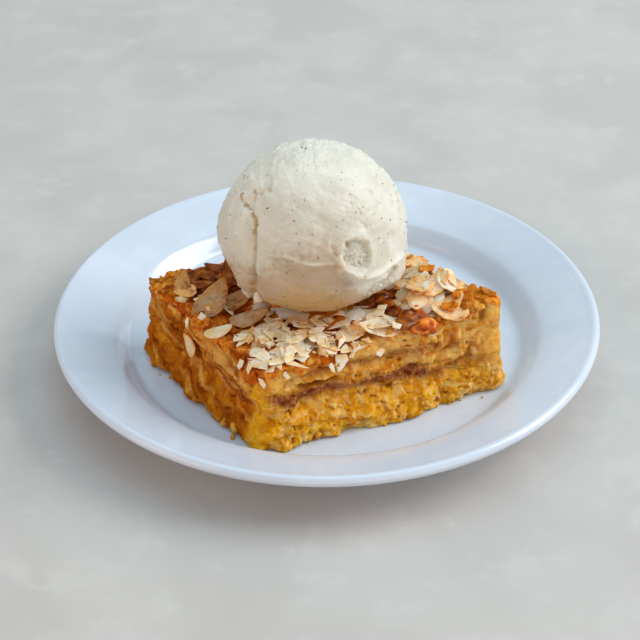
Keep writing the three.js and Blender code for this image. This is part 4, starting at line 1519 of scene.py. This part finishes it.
# %% Bits on the sides
SIDE_BITS = [  # distance along the outline, height, turn in the surface, length, how toasted
    (296, 26.5, 125, 9.5, 0.55), (295, 36.0, 70, 5.0, 0.3), (330, 37.3, 40, 5.0, 0.1),
    (335, 38.4, 80, 5.4, 0), (341.5, 34.6, 120, 5.5, 0.1), (30, 36.6, 95, 9.0, 0), (35, 38.2, 60, 6.0, 0),
    (26.5, 35.6, 110, 5.0, 0.1), (45, 36.6, 20, 4.4, 0.2), (10, 35.6, 150, 5.0, 0.2), (66, 38.4, 10, 5.0, 0),
]
BIT_DRAWS = 23.7

for n, (distance, height, turn, length, toast) in enumerate(SIDE_BITS):
    at, facing = outline(distance), outwards(distance)
    width = length * (0.45 + 0.25 * lattice(n, 1, BIT_DRAWS))
    rings, rim = flake(length, width, ALMOND_THICK, n * 5.3 + 2, bend=0.05, broken=n > 0)
    lean = 0.5 * lattice(n, 4, BIT_DRAWS) - 0.25
    axes = frame_of((facing[0] + lean, facing[1] + lean, 0.35), 0) @ turn_z(turn)
    relief = float(crag(at[0], at[1], height)) + 0.25
    points = np.concatenate(rings) @ axes.T + [*(at + facing * relief), height]
    fragments.put(points, skin(rings), rim=rim, toast=toast, tone=lattice(n, 3, BIT_DRAWS))

flakes.piece("almond_flakes", ALMOND, "crust_bread", ["upper_bread"])
fragments.piece("almond_fragments", ALMOND, "crust_bread", ["upper_bread"])

# %% [markdown]
# ## Caramel
# On the left behind the ball's foot, a layer of flakes has gone dark in melted sugar. On the right, a few
# pieces of nut are lumps of glossy caramel, from dark brown to clear amber. The flakes are made as before and
# the lumps like crumbs, with more points; the stored tone says how dark each one is.

# %% Caramel pieces
DARK_FLAKES = [  # x, y, heading, tilt, length
    (-50, -3, 30, 4, 11), (-45, -8, 70, 8, 12), (-42, -3, 15, 5, 13), (-37, -9, 40, 8, 12),
    (-41, 0, 160, 4, 12), (-48, -10, 20, 6, 10), (-37, -3, 100, 6, 12), (-38, -5, 75, 10, 12),
    (-34, -9, 10, 6, 11),
]
DARK_THICK = 0.6
GLAZED_LUMPS = [  # x, y, heading, length, height above the crust, tone
    (29.2, -41.3, 35, 11, 1.0, 0.2), (34.6, -43.4, 15, 9, 0.7, 0.95), (19.5, -28.6, 30, 8, 2.0, 0.15),
    (23, -31, 100, 6.5, 1.6, 0.4), (16, -29.5, 60, 5, 1.6, 0.1), (26, -34.5, 120, 6, 0.8, 0.3),
    (19.5, -39.5, 10, 4, 0.5, 0.3), (9.5, -39.5, 160, 4, 0.3, 0.4), (24, -36, 70, 6, 0.4, 0.1),
    (33.5, -38, 80, 5, 0.4, 0.3),
]

for n, (x, y, heading, tilt, length) in enumerate(DARK_FLAKES):
    rings, _ = flake(length, length * 0.5, DARK_THICK, n * 2.9, ragged=0.12, point=0.3)
    axes, middle = HEAP.rest(x, y, heading, length, length * 0.5, DARK_THICK, tilt, settle=40)
    points = np.concatenate(rings) @ axes.T + middle
    if clear_of_ball(points, 0.2):
        caramel.put(points, skin(rings), tone=0.5 * float(lattice(n, 1, 3)), gloss=0.15)
        HEAP.cover(points)
for n, (x, y, heading, length, height, clearness) in enumerate(GLAZED_LUMPS):
    rings = lump(length / 2, n * 3.1, around=32, rings=18, rough=0.5)
    place = [x, y, float(crust_top(x, y)) + height]
    points = np.concatenate(rings) * [1, 0.75, 0.62] @ turn_z(heading).T + place
    caramel.put(points, skin(rings), tone=clearness, gloss=1.0)
    HEAP.cover(points)
caramel.piece("caramel_pieces", CARAMEL, "crust_bread", ["upper_bread"])

# %% [markdown]
# ## Crust bits
# Where the slice was cut, the crust has broken into small flaps that lift off the edge at the right corner,
# and into golden nuggets of baked crumb along the front edge and round the left corner. A flap is a thick,
# ragged flake with the crust's finish, and a nugget is the same uneven lump as a crumb.

# %% Crust bits
CRUST_FLAPS = [  # x, y, heading, tilt, length, how dark
    (51, -33.5, 60, 24, 8, 0.1), (54, -27.5, 100, 10, 9, 0.3), (44, -36.5, 10, 20, 6, 0),
    (37, -16, 30, 14, 7, 0), (59, -29, 130, 6, 7, 0.5), (48.5, -30, 20, 20, 7, 0),
]
FLAP_THICK = 1.3
NUGGET_STRETCHES = [  # from and to along the outline, how many, radius, how browned
    (58, 86, 26, 1.3, 0.5), (40, 58, 9, 1.3, 0.4), (8, 30, 3, 1.2, 0.4), (254, 274, 10, 1.4, 0.85),
]

crust_bits = Pile()
for n, (x, y, heading, tilt, length, dark) in enumerate(CRUST_FLAPS):
    rings, _ = flake(length, length * 0.6, FLAP_THICK, n * 4.3 + 1, ragged=0.3, bend=0.14, point=0.1)
    axes, middle = HEAP.rest(x, y, heading, length, length * 0.6, FLAP_THICK, tilt, settle=40)
    points = np.concatenate(rings) @ axes.T + middle
    # darker flaps get more painted shade and cinnamon stain, and less toast
    burnt = {"hollow": 0.3 + 0.6 * dark, "stain": 0.3 + 0.5 * dark, "browned": 0.85 - 0.7 * dark}
    crust_bits.put(points, skin(rings), **bread_values(golden=0.3, syrup=0.5, **burnt))
for start, end, count, size, browned in NUGGET_STRETCHES:
    for n in range(count):
        u = [float(lattice(n, k, start + 0.7)) for k in range(5)]
        distance = start + (end - start) * u[0]
        at = outline(distance) - outwards(distance) * (0.4 + 3.0 * u[1])
        radius = size * (0.6 + 0.7 * u[2])
        rings = lump(radius, n * 1.9 + start, rough=0.6)
        place = [*at, float(top_height(at[0], at[1])) + 0.3 * radius - 1.2 * (1 - u[1]) ** 2]
        points = np.concatenate(rings) * [1.2, 0.8, 0.75] @ turn_z(360 * u[4]).T + place
        values = bread_values(golden=u[3], browned=browned, pale=0.8 * u[2], syrup=0.1)
        crust_bits.put(points, skin(rings), **values)
crust_bits.piece("crust_bits", CRUST_BREAD, "crust_bread", ["upper_bread"])

# %% [markdown]
# ## Ice cream
# A scoop of ice cream keeps the story of the scoop: a smooth, slightly streaked crown, a furrow where the
# curl closed on itself, a torn pit with a soft lip where the scoop let go, and a skirt dragged out at the
# foot. A sculpting brush could draw these, but a rule can be repeated and changed: each mark is a short line
# or a point in degrees (turn and lift) on the ball, and the surface moves out or in with its distance from
# it.
#
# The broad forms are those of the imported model. The fine ones are cracks, ragged edges, grain and pits. The
# back of the ball is rougher than its front, because frost has grown there.


# %% Marks on the ball
def towards(turn, lift):
    """Directions from the ball's centre. Turn 0 faces the diner, positive to the right."""
    a, b = np.radians(turn), np.radians(lift)
    a, b = np.broadcast_arrays(a, b)
    return np.stack([np.sin(a) * np.cos(b), -np.cos(a) * np.cos(b), np.sin(b)], -1)


def nearness(directions, turn, lift, spread):
    """1 at a spot of the ball, fading over so many degrees."""
    angle = np.degrees(np.arccos(np.clip(directions @ towards(turn, lift), -1, 1)))
    return bell(angle, spread)


def gap_to_spot(directions, spot):
    """Distance in mm to a spot given in degrees."""
    return np.linalg.norm(directions * BALL_RADIUS - towards(*spot) * BALL_RADIUS, axis=1)


def gap_to_line(directions, corners):
    """Distance in mm to a line through corners given in degrees."""
    at = directions * BALL_RADIUS
    ends = [towards(*corner) * BALL_RADIUS for corner in corners]
    nearest = np.full(len(at), 99.0)
    for a, b in zip(ends, ends[1:]):
        share = np.clip(((at - a) @ (b - a)) / ((b - a) @ (b - a)), 0, 1)
        nearest = np.minimum(nearest, np.linalg.norm(at - a - share[:, None] * (b - a), axis=1))
    return nearest


TEAR = [(-71, 38), (-63, 35.5), (-55, 35), (-50, 33), (-46.5, 31), (-44.5, 27), (-44, 22)]
BRANCH = [(-45, 52), (-50, 50), (-53, 46), (-59, 46), (-56, 42), (-54, 40), (-53, 35)]
FURROW = [(-46, 31), (-44, 24), (-42.5, 14), (-41.5, 4), (-42, -6), (-44.5, -18), (-49, -31)]
RIDGE = [(-27, 14.5), (-16, 15.3), (-7, 12.5), (0, 11.4), (13, 12)]
LIP = [(15, 13), (18, 8), (23, 3.5), (31, -0.8), (41, -2.5), (50, -2), (66, -3)]
UNDER_LIP = [(19, 0), (24, -5), (32, -9.5), (42, -9.5), (52, -9)]
SKIRT_FOLD = [(58, -10), (52, -17), (44, -20.5), (36, -23.5), (30, -26)]
CRACKS = [
    [(54, 49), (57.5, 44)], [(73, 33.5), (73.5, 28.5)], [(57, 36.5), (50, 35), (47, 32.5)],
    [(35, 40), (37, 36.5)], [(34.5, 33.5), (37.5, 28)], [(12, 22), (14, 17), (13, 12)],
]
CRATER = (27, 14)
CRATER_HOLE = (21, 21.4)
CRATER_NOTCH = (14.5, 17)
SWELLINGS = [  # turn, lift, how broad in degrees, mm outwards
    (-80, 5, 32, 0.6), (-86, 10, 13, 1.0), (30, 0, 13, 1.6), (67, -23, 13, 3.4), (-52, -32, 12, 1.8),
]
print("cracks in the ball:", len(CRACKS), "and swellings:", len(SWELLINGS))


# %% The torn pit
def crater_marks(directions):
    """The torn pit. Its rim is uneven, its floor is crumbly, and deeper holes open at its upper left."""
    at = directions * BALL_RADIUS
    crumple = 0.8 * noise(at[:, 0] / 2.3 + 7, at[:, 1] / 2.3, at[:, 2] / 2.3 + 3) + 0.5 * noise(*(at.T / 0.9))
    from_middle = gap_to_spot(directions, CRATER)
    rim = 5.6 + crumple
    inside = soft_step(rim - from_middle, -0.3, 1.0)
    crystal, crease, which = lumps(*at.T, 1.25, 1, 31)
    hole = soft_step(1.6 - gap_to_spot(directions, CRATER_HOLE) + 0.5 * crumple, 0, 0.9)
    notch = soft_step(1.5 - gap_to_spot(directions, CRATER_NOTCH) + 0.6 * crumple, 0, 1.2)
    relief = inside * (-1.6 + 1.2 * (crystal - 0.4) + 0.3 * noise(*(at.T / 0.5)))
    lower_left = soft_step((at - towards(*CRATER) * BALL_RADIUS) @ np.array([-0.5, 0, -1]), -2, 4)
    swollen = bell(from_middle - rim - 1.0, 1.1) * (0.3 + 0.55 * lower_left)
    relief += swollen - 1.0 * hole - 0.7 * notch
    # painted shade: darker in the pit, most in its hole and notch
    return relief, np.clip(inside * (0.22 + 0.5 * crease * (which < 0.6)) + 0.7 * hole + 0.4 * notch, 0, 1)


pit_relief, _ = crater_marks(towards(*CRATER)[None])
print("the middle of the pit is", round(-float(pit_relief[0]), 1), "mm deep")


# %% The surface of the ball
def drawn_marks(directions, turn, lift):
    """Furrow, tear, cracks, fold, ridge and lip: their relief in mm, and the painted shade in furrow, tear,
    cracks and fold.
    """
    at = directions * BALL_RADIUS
    jag = np.stack([noise(at[:, 0] / 1.5 + k, at[:, 1] / 1.5, at[:, 2] / 1.5) for k in (0, 9, 18)], 1)
    rough = (at + jag) / np.linalg.norm(at + jag, axis=1)[:, None]
    low = soft_step(lift, -60, -20) * (1 - soft_step(lift, 34, 50))
    furrow_turn = -43 - 0.012 * np.maximum(0, lift - 5) ** 2
    broad_furrow = low * bell(turn - furrow_turn, 5)
    torn_line = np.minimum(gap_to_line(rough, TEAR), gap_to_line(rough, BRANCH))
    width = 0.85 + 0.6 * noise(*(at.T / 1.6))
    from_furrow = gap_to_line(0.3 * directions + 0.7 * rough, FURROW)
    cracks = np.minimum(sum(bell(gap_to_line(rough, line), 0.4) for line in CRACKS), 1)
    fold = bell(gap_to_line(rough, SKIRT_FOLD), 1.3)
    relief = -1.6 * broad_furrow - 0.8 * bell(torn_line, width) + 0.3 * bell(torn_line - 1.3, 0.6)
    relief += -1.3 * bell(from_furrow, 2.2) - 0.5 * cracks - 1.5 * fold
    relief += 1.3 * bell(gap_to_line(directions, RIDGE), 0.6) + 1.6 * bell(gap_to_line(directions, LIP), 1.4)
    relief += -1.1 * bell(gap_to_line(directions, UNDER_LIP), 1.7)
    wandering = 0.75 + 0.25 * noise(at[:, 0] / 3, at[:, 1] / 3, at[:, 2] / 1.8)
    broken = 0.7 + 0.6 * noise(*(at.T / 1.3))
    # painted shade along the tear, the furrow, the cracks and the fold
    hollow = broken * bell(torn_line, 1.2) + 1.1 * wandering * bell(from_furrow, 2.1)
    return relief, hollow + 0.5 * cracks + 0.9 * fold * broken


def frozen_skin(directions, turn, lift):
    """Torn foot, flaky left shoulder, streaks of the scoop, frost and grain: their relief in mm."""
    at = directions * BALL_RADIUS
    crystals, _, _ = lumps(*at.T, 1.7, 1, 37)
    torn_foot = 2.4 * nearness(directions, 42, -22, 10) + 1.8 * nearness(directions, -58, -36, 12)
    flaky = soft_step(noise(*(at.T / 3.5)), 0.0, 0.15) * nearness(directions, -66, 44, 15)
    relief = torn_foot * 0.8 * (crystals - 0.45) + 0.6 * flaky
    across = directions @ np.array([0.35, -0.2, 0.92])
    streaks = noise(across * 34, turn / 16, 3.0) + 0.6 * noise(across * 70, turn / 9, 6.0)
    relief += 0.13 * streaks * soft_step(lift, 0, 25) - 0.4 * soft_step(lift, 62, 84)
    frost = soft_step(directions[:, 1], -0.35, 0.1)
    relief += frost * (0.5 * (crystals - 0.5) + 0.35 * noise(*(at.T / 2.4)))
    grain = noise(*(at.T / 1.1)) + 0.7 * noise(*(at.T / 0.55))
    return relief + 0.08 * grain + (0.12 + 0.22 * soft_step(12 - lift, 0, 15)) * noise(*(at.T / 2.7))


def scoop_surface(directions):
    """How far the surface stands off the plain ball in mm, and its painted shade from 0 to 1."""
    at = directions * BALL_RADIUS
    turn = np.degrees(np.arctan2(directions[:, 0], -directions[:, 1]))
    lift = np.degrees(np.arcsin(np.clip(directions[:, 2], -1, 1)))
    drawn, drawn_hollow = drawn_marks(directions, turn, lift)
    pit, pit_hollow = crater_marks(directions)
    swollen = sum(rise * nearness(directions, *spot, spread) for *spot, spread, rise in SWELLINGS)
    uneven = 0.5 * noise(directions[:, 0] * 6, directions[:, 1] * 6, directions[:, 2] * 6 + 2)
    speck, _, which = cells(*(at.T / 2.6), 41)
    pock = (which < 0.07) * soft_step(0.26 - speck, 0, 0.16)
    relief = swollen + uneven + drawn + pit + frozen_skin(directions, turn, lift) - 0.35 * pock
    # painted shade of furrow, cracks, pit and small pits
    return relief, np.clip(drawn_hollow + pit_hollow + 0.4 * pock, 0, 1)


def scoop_points(directions):
    """Points of the ball's surface in the model's own place, and their painted shade."""
    relief, hollow = scoop_surface(directions)
    points = directions * (BALL_RADIUS + relief)[:, None]
    points[:, 2] *= np.where(points[:, 2] < 0, BALL_UNDERSIDE / BALL_RADIUS, 1)
    points = points + BALL_CENTRE
    points[:, 2] = np.maximum(points[:, 2], SEAT_HEIGHT + GAP)
    return points, hollow


crown, _ = scoop_points(towards(0, 90)[None])
print("the ball's crown is", round(float(crown[0, 2]), 1), "mm above the table")

# %% [markdown]
# Ice cream is bright because light wanders about inside it before it comes out, so its finish needs strong
# subsurface scattering: a plain white looks like plaster. Colour drifts between ivory and a greyer cream,
# takes painted shade in the cracks, furrow and pit, and tiny ground vanilla shows as faint specks under the
# surface. The crown is painted paler, as light falling on it from above, and the underside is painted darker
# and warmer, as shade and the warm light that the bread and table give back. Two stored values say how much.


# %% Finish for ice cream
def make_cream(name, body, pale, deep, coat):
    finish, tree, shader = new_finish(
        name, Subsurface_Weight=0.55, Subsurface_Scale=0.005, Coat_Weight=coat, Coat_Roughness=0.2, IOR=1.35
    )
    shader.inputs["Subsurface Radius"].default_value = (1.0, 0.75, 0.5)
    colour = mottled(tree, 16.0, deep, body, pale, pale_share=0.4)
    dust = use_group(tree, SPECKS, {"Spacing": 2.2, "Radius": 0.07})["Mask"]
    # painted light: the crown paler and whiter
    colour = mixed(tree, maths(tree, "MULTIPLY", stored(tree, "frost"), 0.35), colour, tone("fbf6ea"))
    colour = mixed(tree, maths(tree, "MULTIPLY", dust, 0.5), colour, tone("8d7f68"))
    # painted shade in the cracks, furrow and pit
    colour = with_painted_shade(tree, colour, "c0a058", stored(tree, "hollow"))
    # painted shade and painted warm reflected light: the underside darker and warmer
    soaked = stored(tree, "soaked")
    colour = mixed(tree, ramp(tree, soaked, 0, 0.45, 0, 0.95), colour, tone("e0c8b2"), "MULTIPLY")
    colour = mixed(tree, ramp(tree, soaked, 0.6, 1.0, 0, 0.9), colour, tone("ffedbf"), "MULTIPLY")
    grit = fine_grain(tree, 0.9)
    wire(tree, shader, {
        "Base Color": colour,
        "Roughness": ramp(tree, grit, 0.3, 0.7, 0.36, 0.52),
        "Normal": bump(tree, grit, 0.16),
    })
    return finish


ICE_CREAM = make_cream("ice_cream", body="e6e2d2", pale="efece0", deep="ddd8c6", coat=0.15)
MELTED_CREAM = make_cream("melted_cream", body="faf3e2", pale="fffaf0", deep="f2e8d2", coat=0.25)
print("cream finishes:", ICE_CREAM.name, MELTED_CREAM.name)

# %% [markdown]
# The ball is rings of points again, set in directions from its centre. Evenly spaced rings would crowd their
# points at the foot and the crown, so those near both ends have fewer. Each point also stores its painted
# shade in cracks and pits, how much painted warm shade it gets low down, less on the ball's right and left
# than in front, and how much painted light it gets on the crown.

# %% The ball
BALL_COLUMNS = 480
RING_STEP = 0.78  # degrees between rings


def ball_rings():
    """Rings of directions from the foot to the crown, with fewer points near both ends."""
    rings = []
    for lift in np.arange(-76, 87.1, RING_STEP):
        every = 1 if abs(lift) < 58 else (2 if abs(lift) < 74 else 4)
        turns = np.arange(0, BALL_COLUMNS, every) * 360 / BALL_COLUMNS
        rings.append(towards(turns, lift))
    return [towards(np.zeros(1), -90), *rings, towards(np.zeros(1), 90)]


def cream_values(directions):
    """How much painted shade and warm reflected light each place gets low down, and how much painted light
    on the crown, from 0 to 1.
    """
    right_side = soft_step(directions[:, 0], 0.1, 0.7)
    left_side = soft_step(-directions[:, 0], 0.15, 0.7)
    reach = 0.75 - 0.88 * right_side - 0.45 * left_side
    wandering = 0.1 * noise(*(directions.T * 5)) + 0.12 * noise(*(directions.T * 24))
    # painted shade and warm reflected light from the middle of the ball downwards, least on the lit right
    soaked = soft_step(reach - directions[:, 2] + wandering, 0, 1.25)
    return {"soaked": soaked, "frost": soft_step(directions[:, 2] + wandering, 0.6, 0.95)}


rings = ball_rings()
directions = np.concatenate(rings)
points, hollow = scoop_points(directions)
values = {"hollow": hollow, **cream_values(directions)}
make_piece("ice_cream_ball", points, skin(rings), ICE_CREAM, ["ice_cream"], values)

# %% [markdown]
# ## Vanilla seeds
# The larger vanilla seeds are real dots: small dark grains half sunk in the surface, from a fifth of a
# millimetre to a little over half of one across. They are spread evenly at random over all but the foot of
# the ball by drawing a height and a turn, which gives every patch of a sphere the same chance. Specks in the
# finish alone would cost nothing, but they would stay flat and blur close up, so the ball has both.

# %% Vanilla seeds
SEED_COUNT = 420
SEED_DRAWS = 61.7


def make_seed_finish():
    finish, tree, shader = new_finish("vanilla_seed", Roughness=0.6)
    dark = mottled(tree, 2.0, deep="1e1914", body="3a3128", pale="5c5040")
    faded = ramp(tree, stored(tree, "tone"), 0.2, 1, 0, 0.85)
    wire(tree, shader, {"Base Color": mixed(tree, faded, dark, tone("9c8d78"))})
    return finish


numbers = np.arange(SEED_COUNT)
seed_lift = np.degrees(np.arcsin(1.75 * lattice(numbers, 1, SEED_DRAWS) - 0.75))
seed_turn = 360 * lattice(numbers, 2, SEED_DRAWS) - 180
seed_places, _ = scoop_points(towards(seed_turn, seed_lift))
seeds = Pile()
for n, place in enumerate(seed_places):
    rings = lump(0.11 + 0.19 * float(lattice(n, 3, SEED_DRAWS)) ** 2, n, around=8, rings=3)
    seeds.put(np.concatenate(rings) + place, skin(rings), tone=float(lattice(n, 4, SEED_DRAWS)))
seeds.piece("vanilla_seeds", make_seed_finish(), "vanilla_ice", ["ice_cream"])

# %% [markdown]
# ## Melted cream
# Where the ball meets the warm crust it has begun to melt: small wet pools at its front right, its front left
# and under the furrow. Each is a low dome with a wandering edge that fills the gaps between the flakes. The
# ball's torn left foot hangs down in small drips of uneven size, which are rough lumps half sunk in it. A
# fluid simulation could spread the pools, but it takes minutes, and a dome can be put exactly where it is
# wanted.

# %% Melted cream
POOL_COLUMNS = 48
POOLS = [(-13, -31, 7.5, 3.4), (10.5, -35.5, 3.8, 5.0), (-24, -27, 3.4, 3.0)]  # x, y, half-sizes
POOL_RISE = 1.2  # mm, from its edge to its middle
POOL_SINK = 0.4  # how far its edge lies below the heap
POOL_DEPTH = 1.4  # how far it fills the gaps below
DRIP_TURNS = np.array([-79, -73, -71.5, -66, -64, -60, -57.5, -51, -49, -46])
DRIP_DRAWS = 77.3


def pool(x, y, half_x, half_y, seed):
    """Rings of a low dome that lies on the heap."""
    turn = np.arange(POOL_COLUMNS) * 2 * math.pi / POOL_COLUMNS
    wander = 1 + 0.5 * noise(1.8 * np.cos(turn) + seed, 1.8 * np.sin(turn), 0.5)
    wander = wander + 0.4 * noise(4 * np.cos(turn), 4 * np.sin(turn) + seed, 0.5)
    edge = np.column_stack([half_x * np.cos(turn), half_y * np.sin(turn)]) * wander[:, None]
    level = np.percentile(HEAP.under(edge * 0.7 + [x, y]), 60)

    def ring(share, thick):
        return np.column_stack([edge * share + [x, y], np.full(POOL_COLUMNS, level + thick)])

    shares = (1.0, 0.985, 0.95, 0.88, 0.78, 0.62, 0.42, 0.2)
    top = [ring(share, POOL_RISE * math.sqrt(1 - share**2.5) - POOL_SINK) for share in shares]
    low = [ring(share, -POOL_DEPTH) for share in (0.2, 0.6, 0.95)]
    ends = [ring(0, thick)[:1] for thick in (-POOL_DEPTH, POOL_RISE - POOL_SINK)]
    return [ends[0], *low, *top, ends[1]]


pools = Pile()
for n, spot in enumerate(POOLS):
    rings = pool(*spot, n * 4.1)
    pools.put(np.concatenate(rings), skin(rings), hollow=0.0, soaked=0.0, frost=0.0)
drip_lifts = -30 - 13 * lattice(np.arange(len(DRIP_TURNS)), 1, DRIP_DRAWS)
drip_places, _ = scoop_points(towards(DRIP_TURNS, drip_lifts))
for n, place in enumerate(drip_places):
    rings = lump(0.8 + 1.5 * float(lattice(n, 2, DRIP_DRAWS)), n * 1.3, rough=0.6)
    points = np.concatenate(rings) * [0.8, 0.8, 1.3] + place
    # the drips get a little of the underside's painted warm shade
    pools.put(points, skin(rings), hollow=0.0, soaked=0.22, frost=0.0)
pools.piece("melted_cream", MELTED_CREAM, "vanilla_ice", ["ice_cream"])
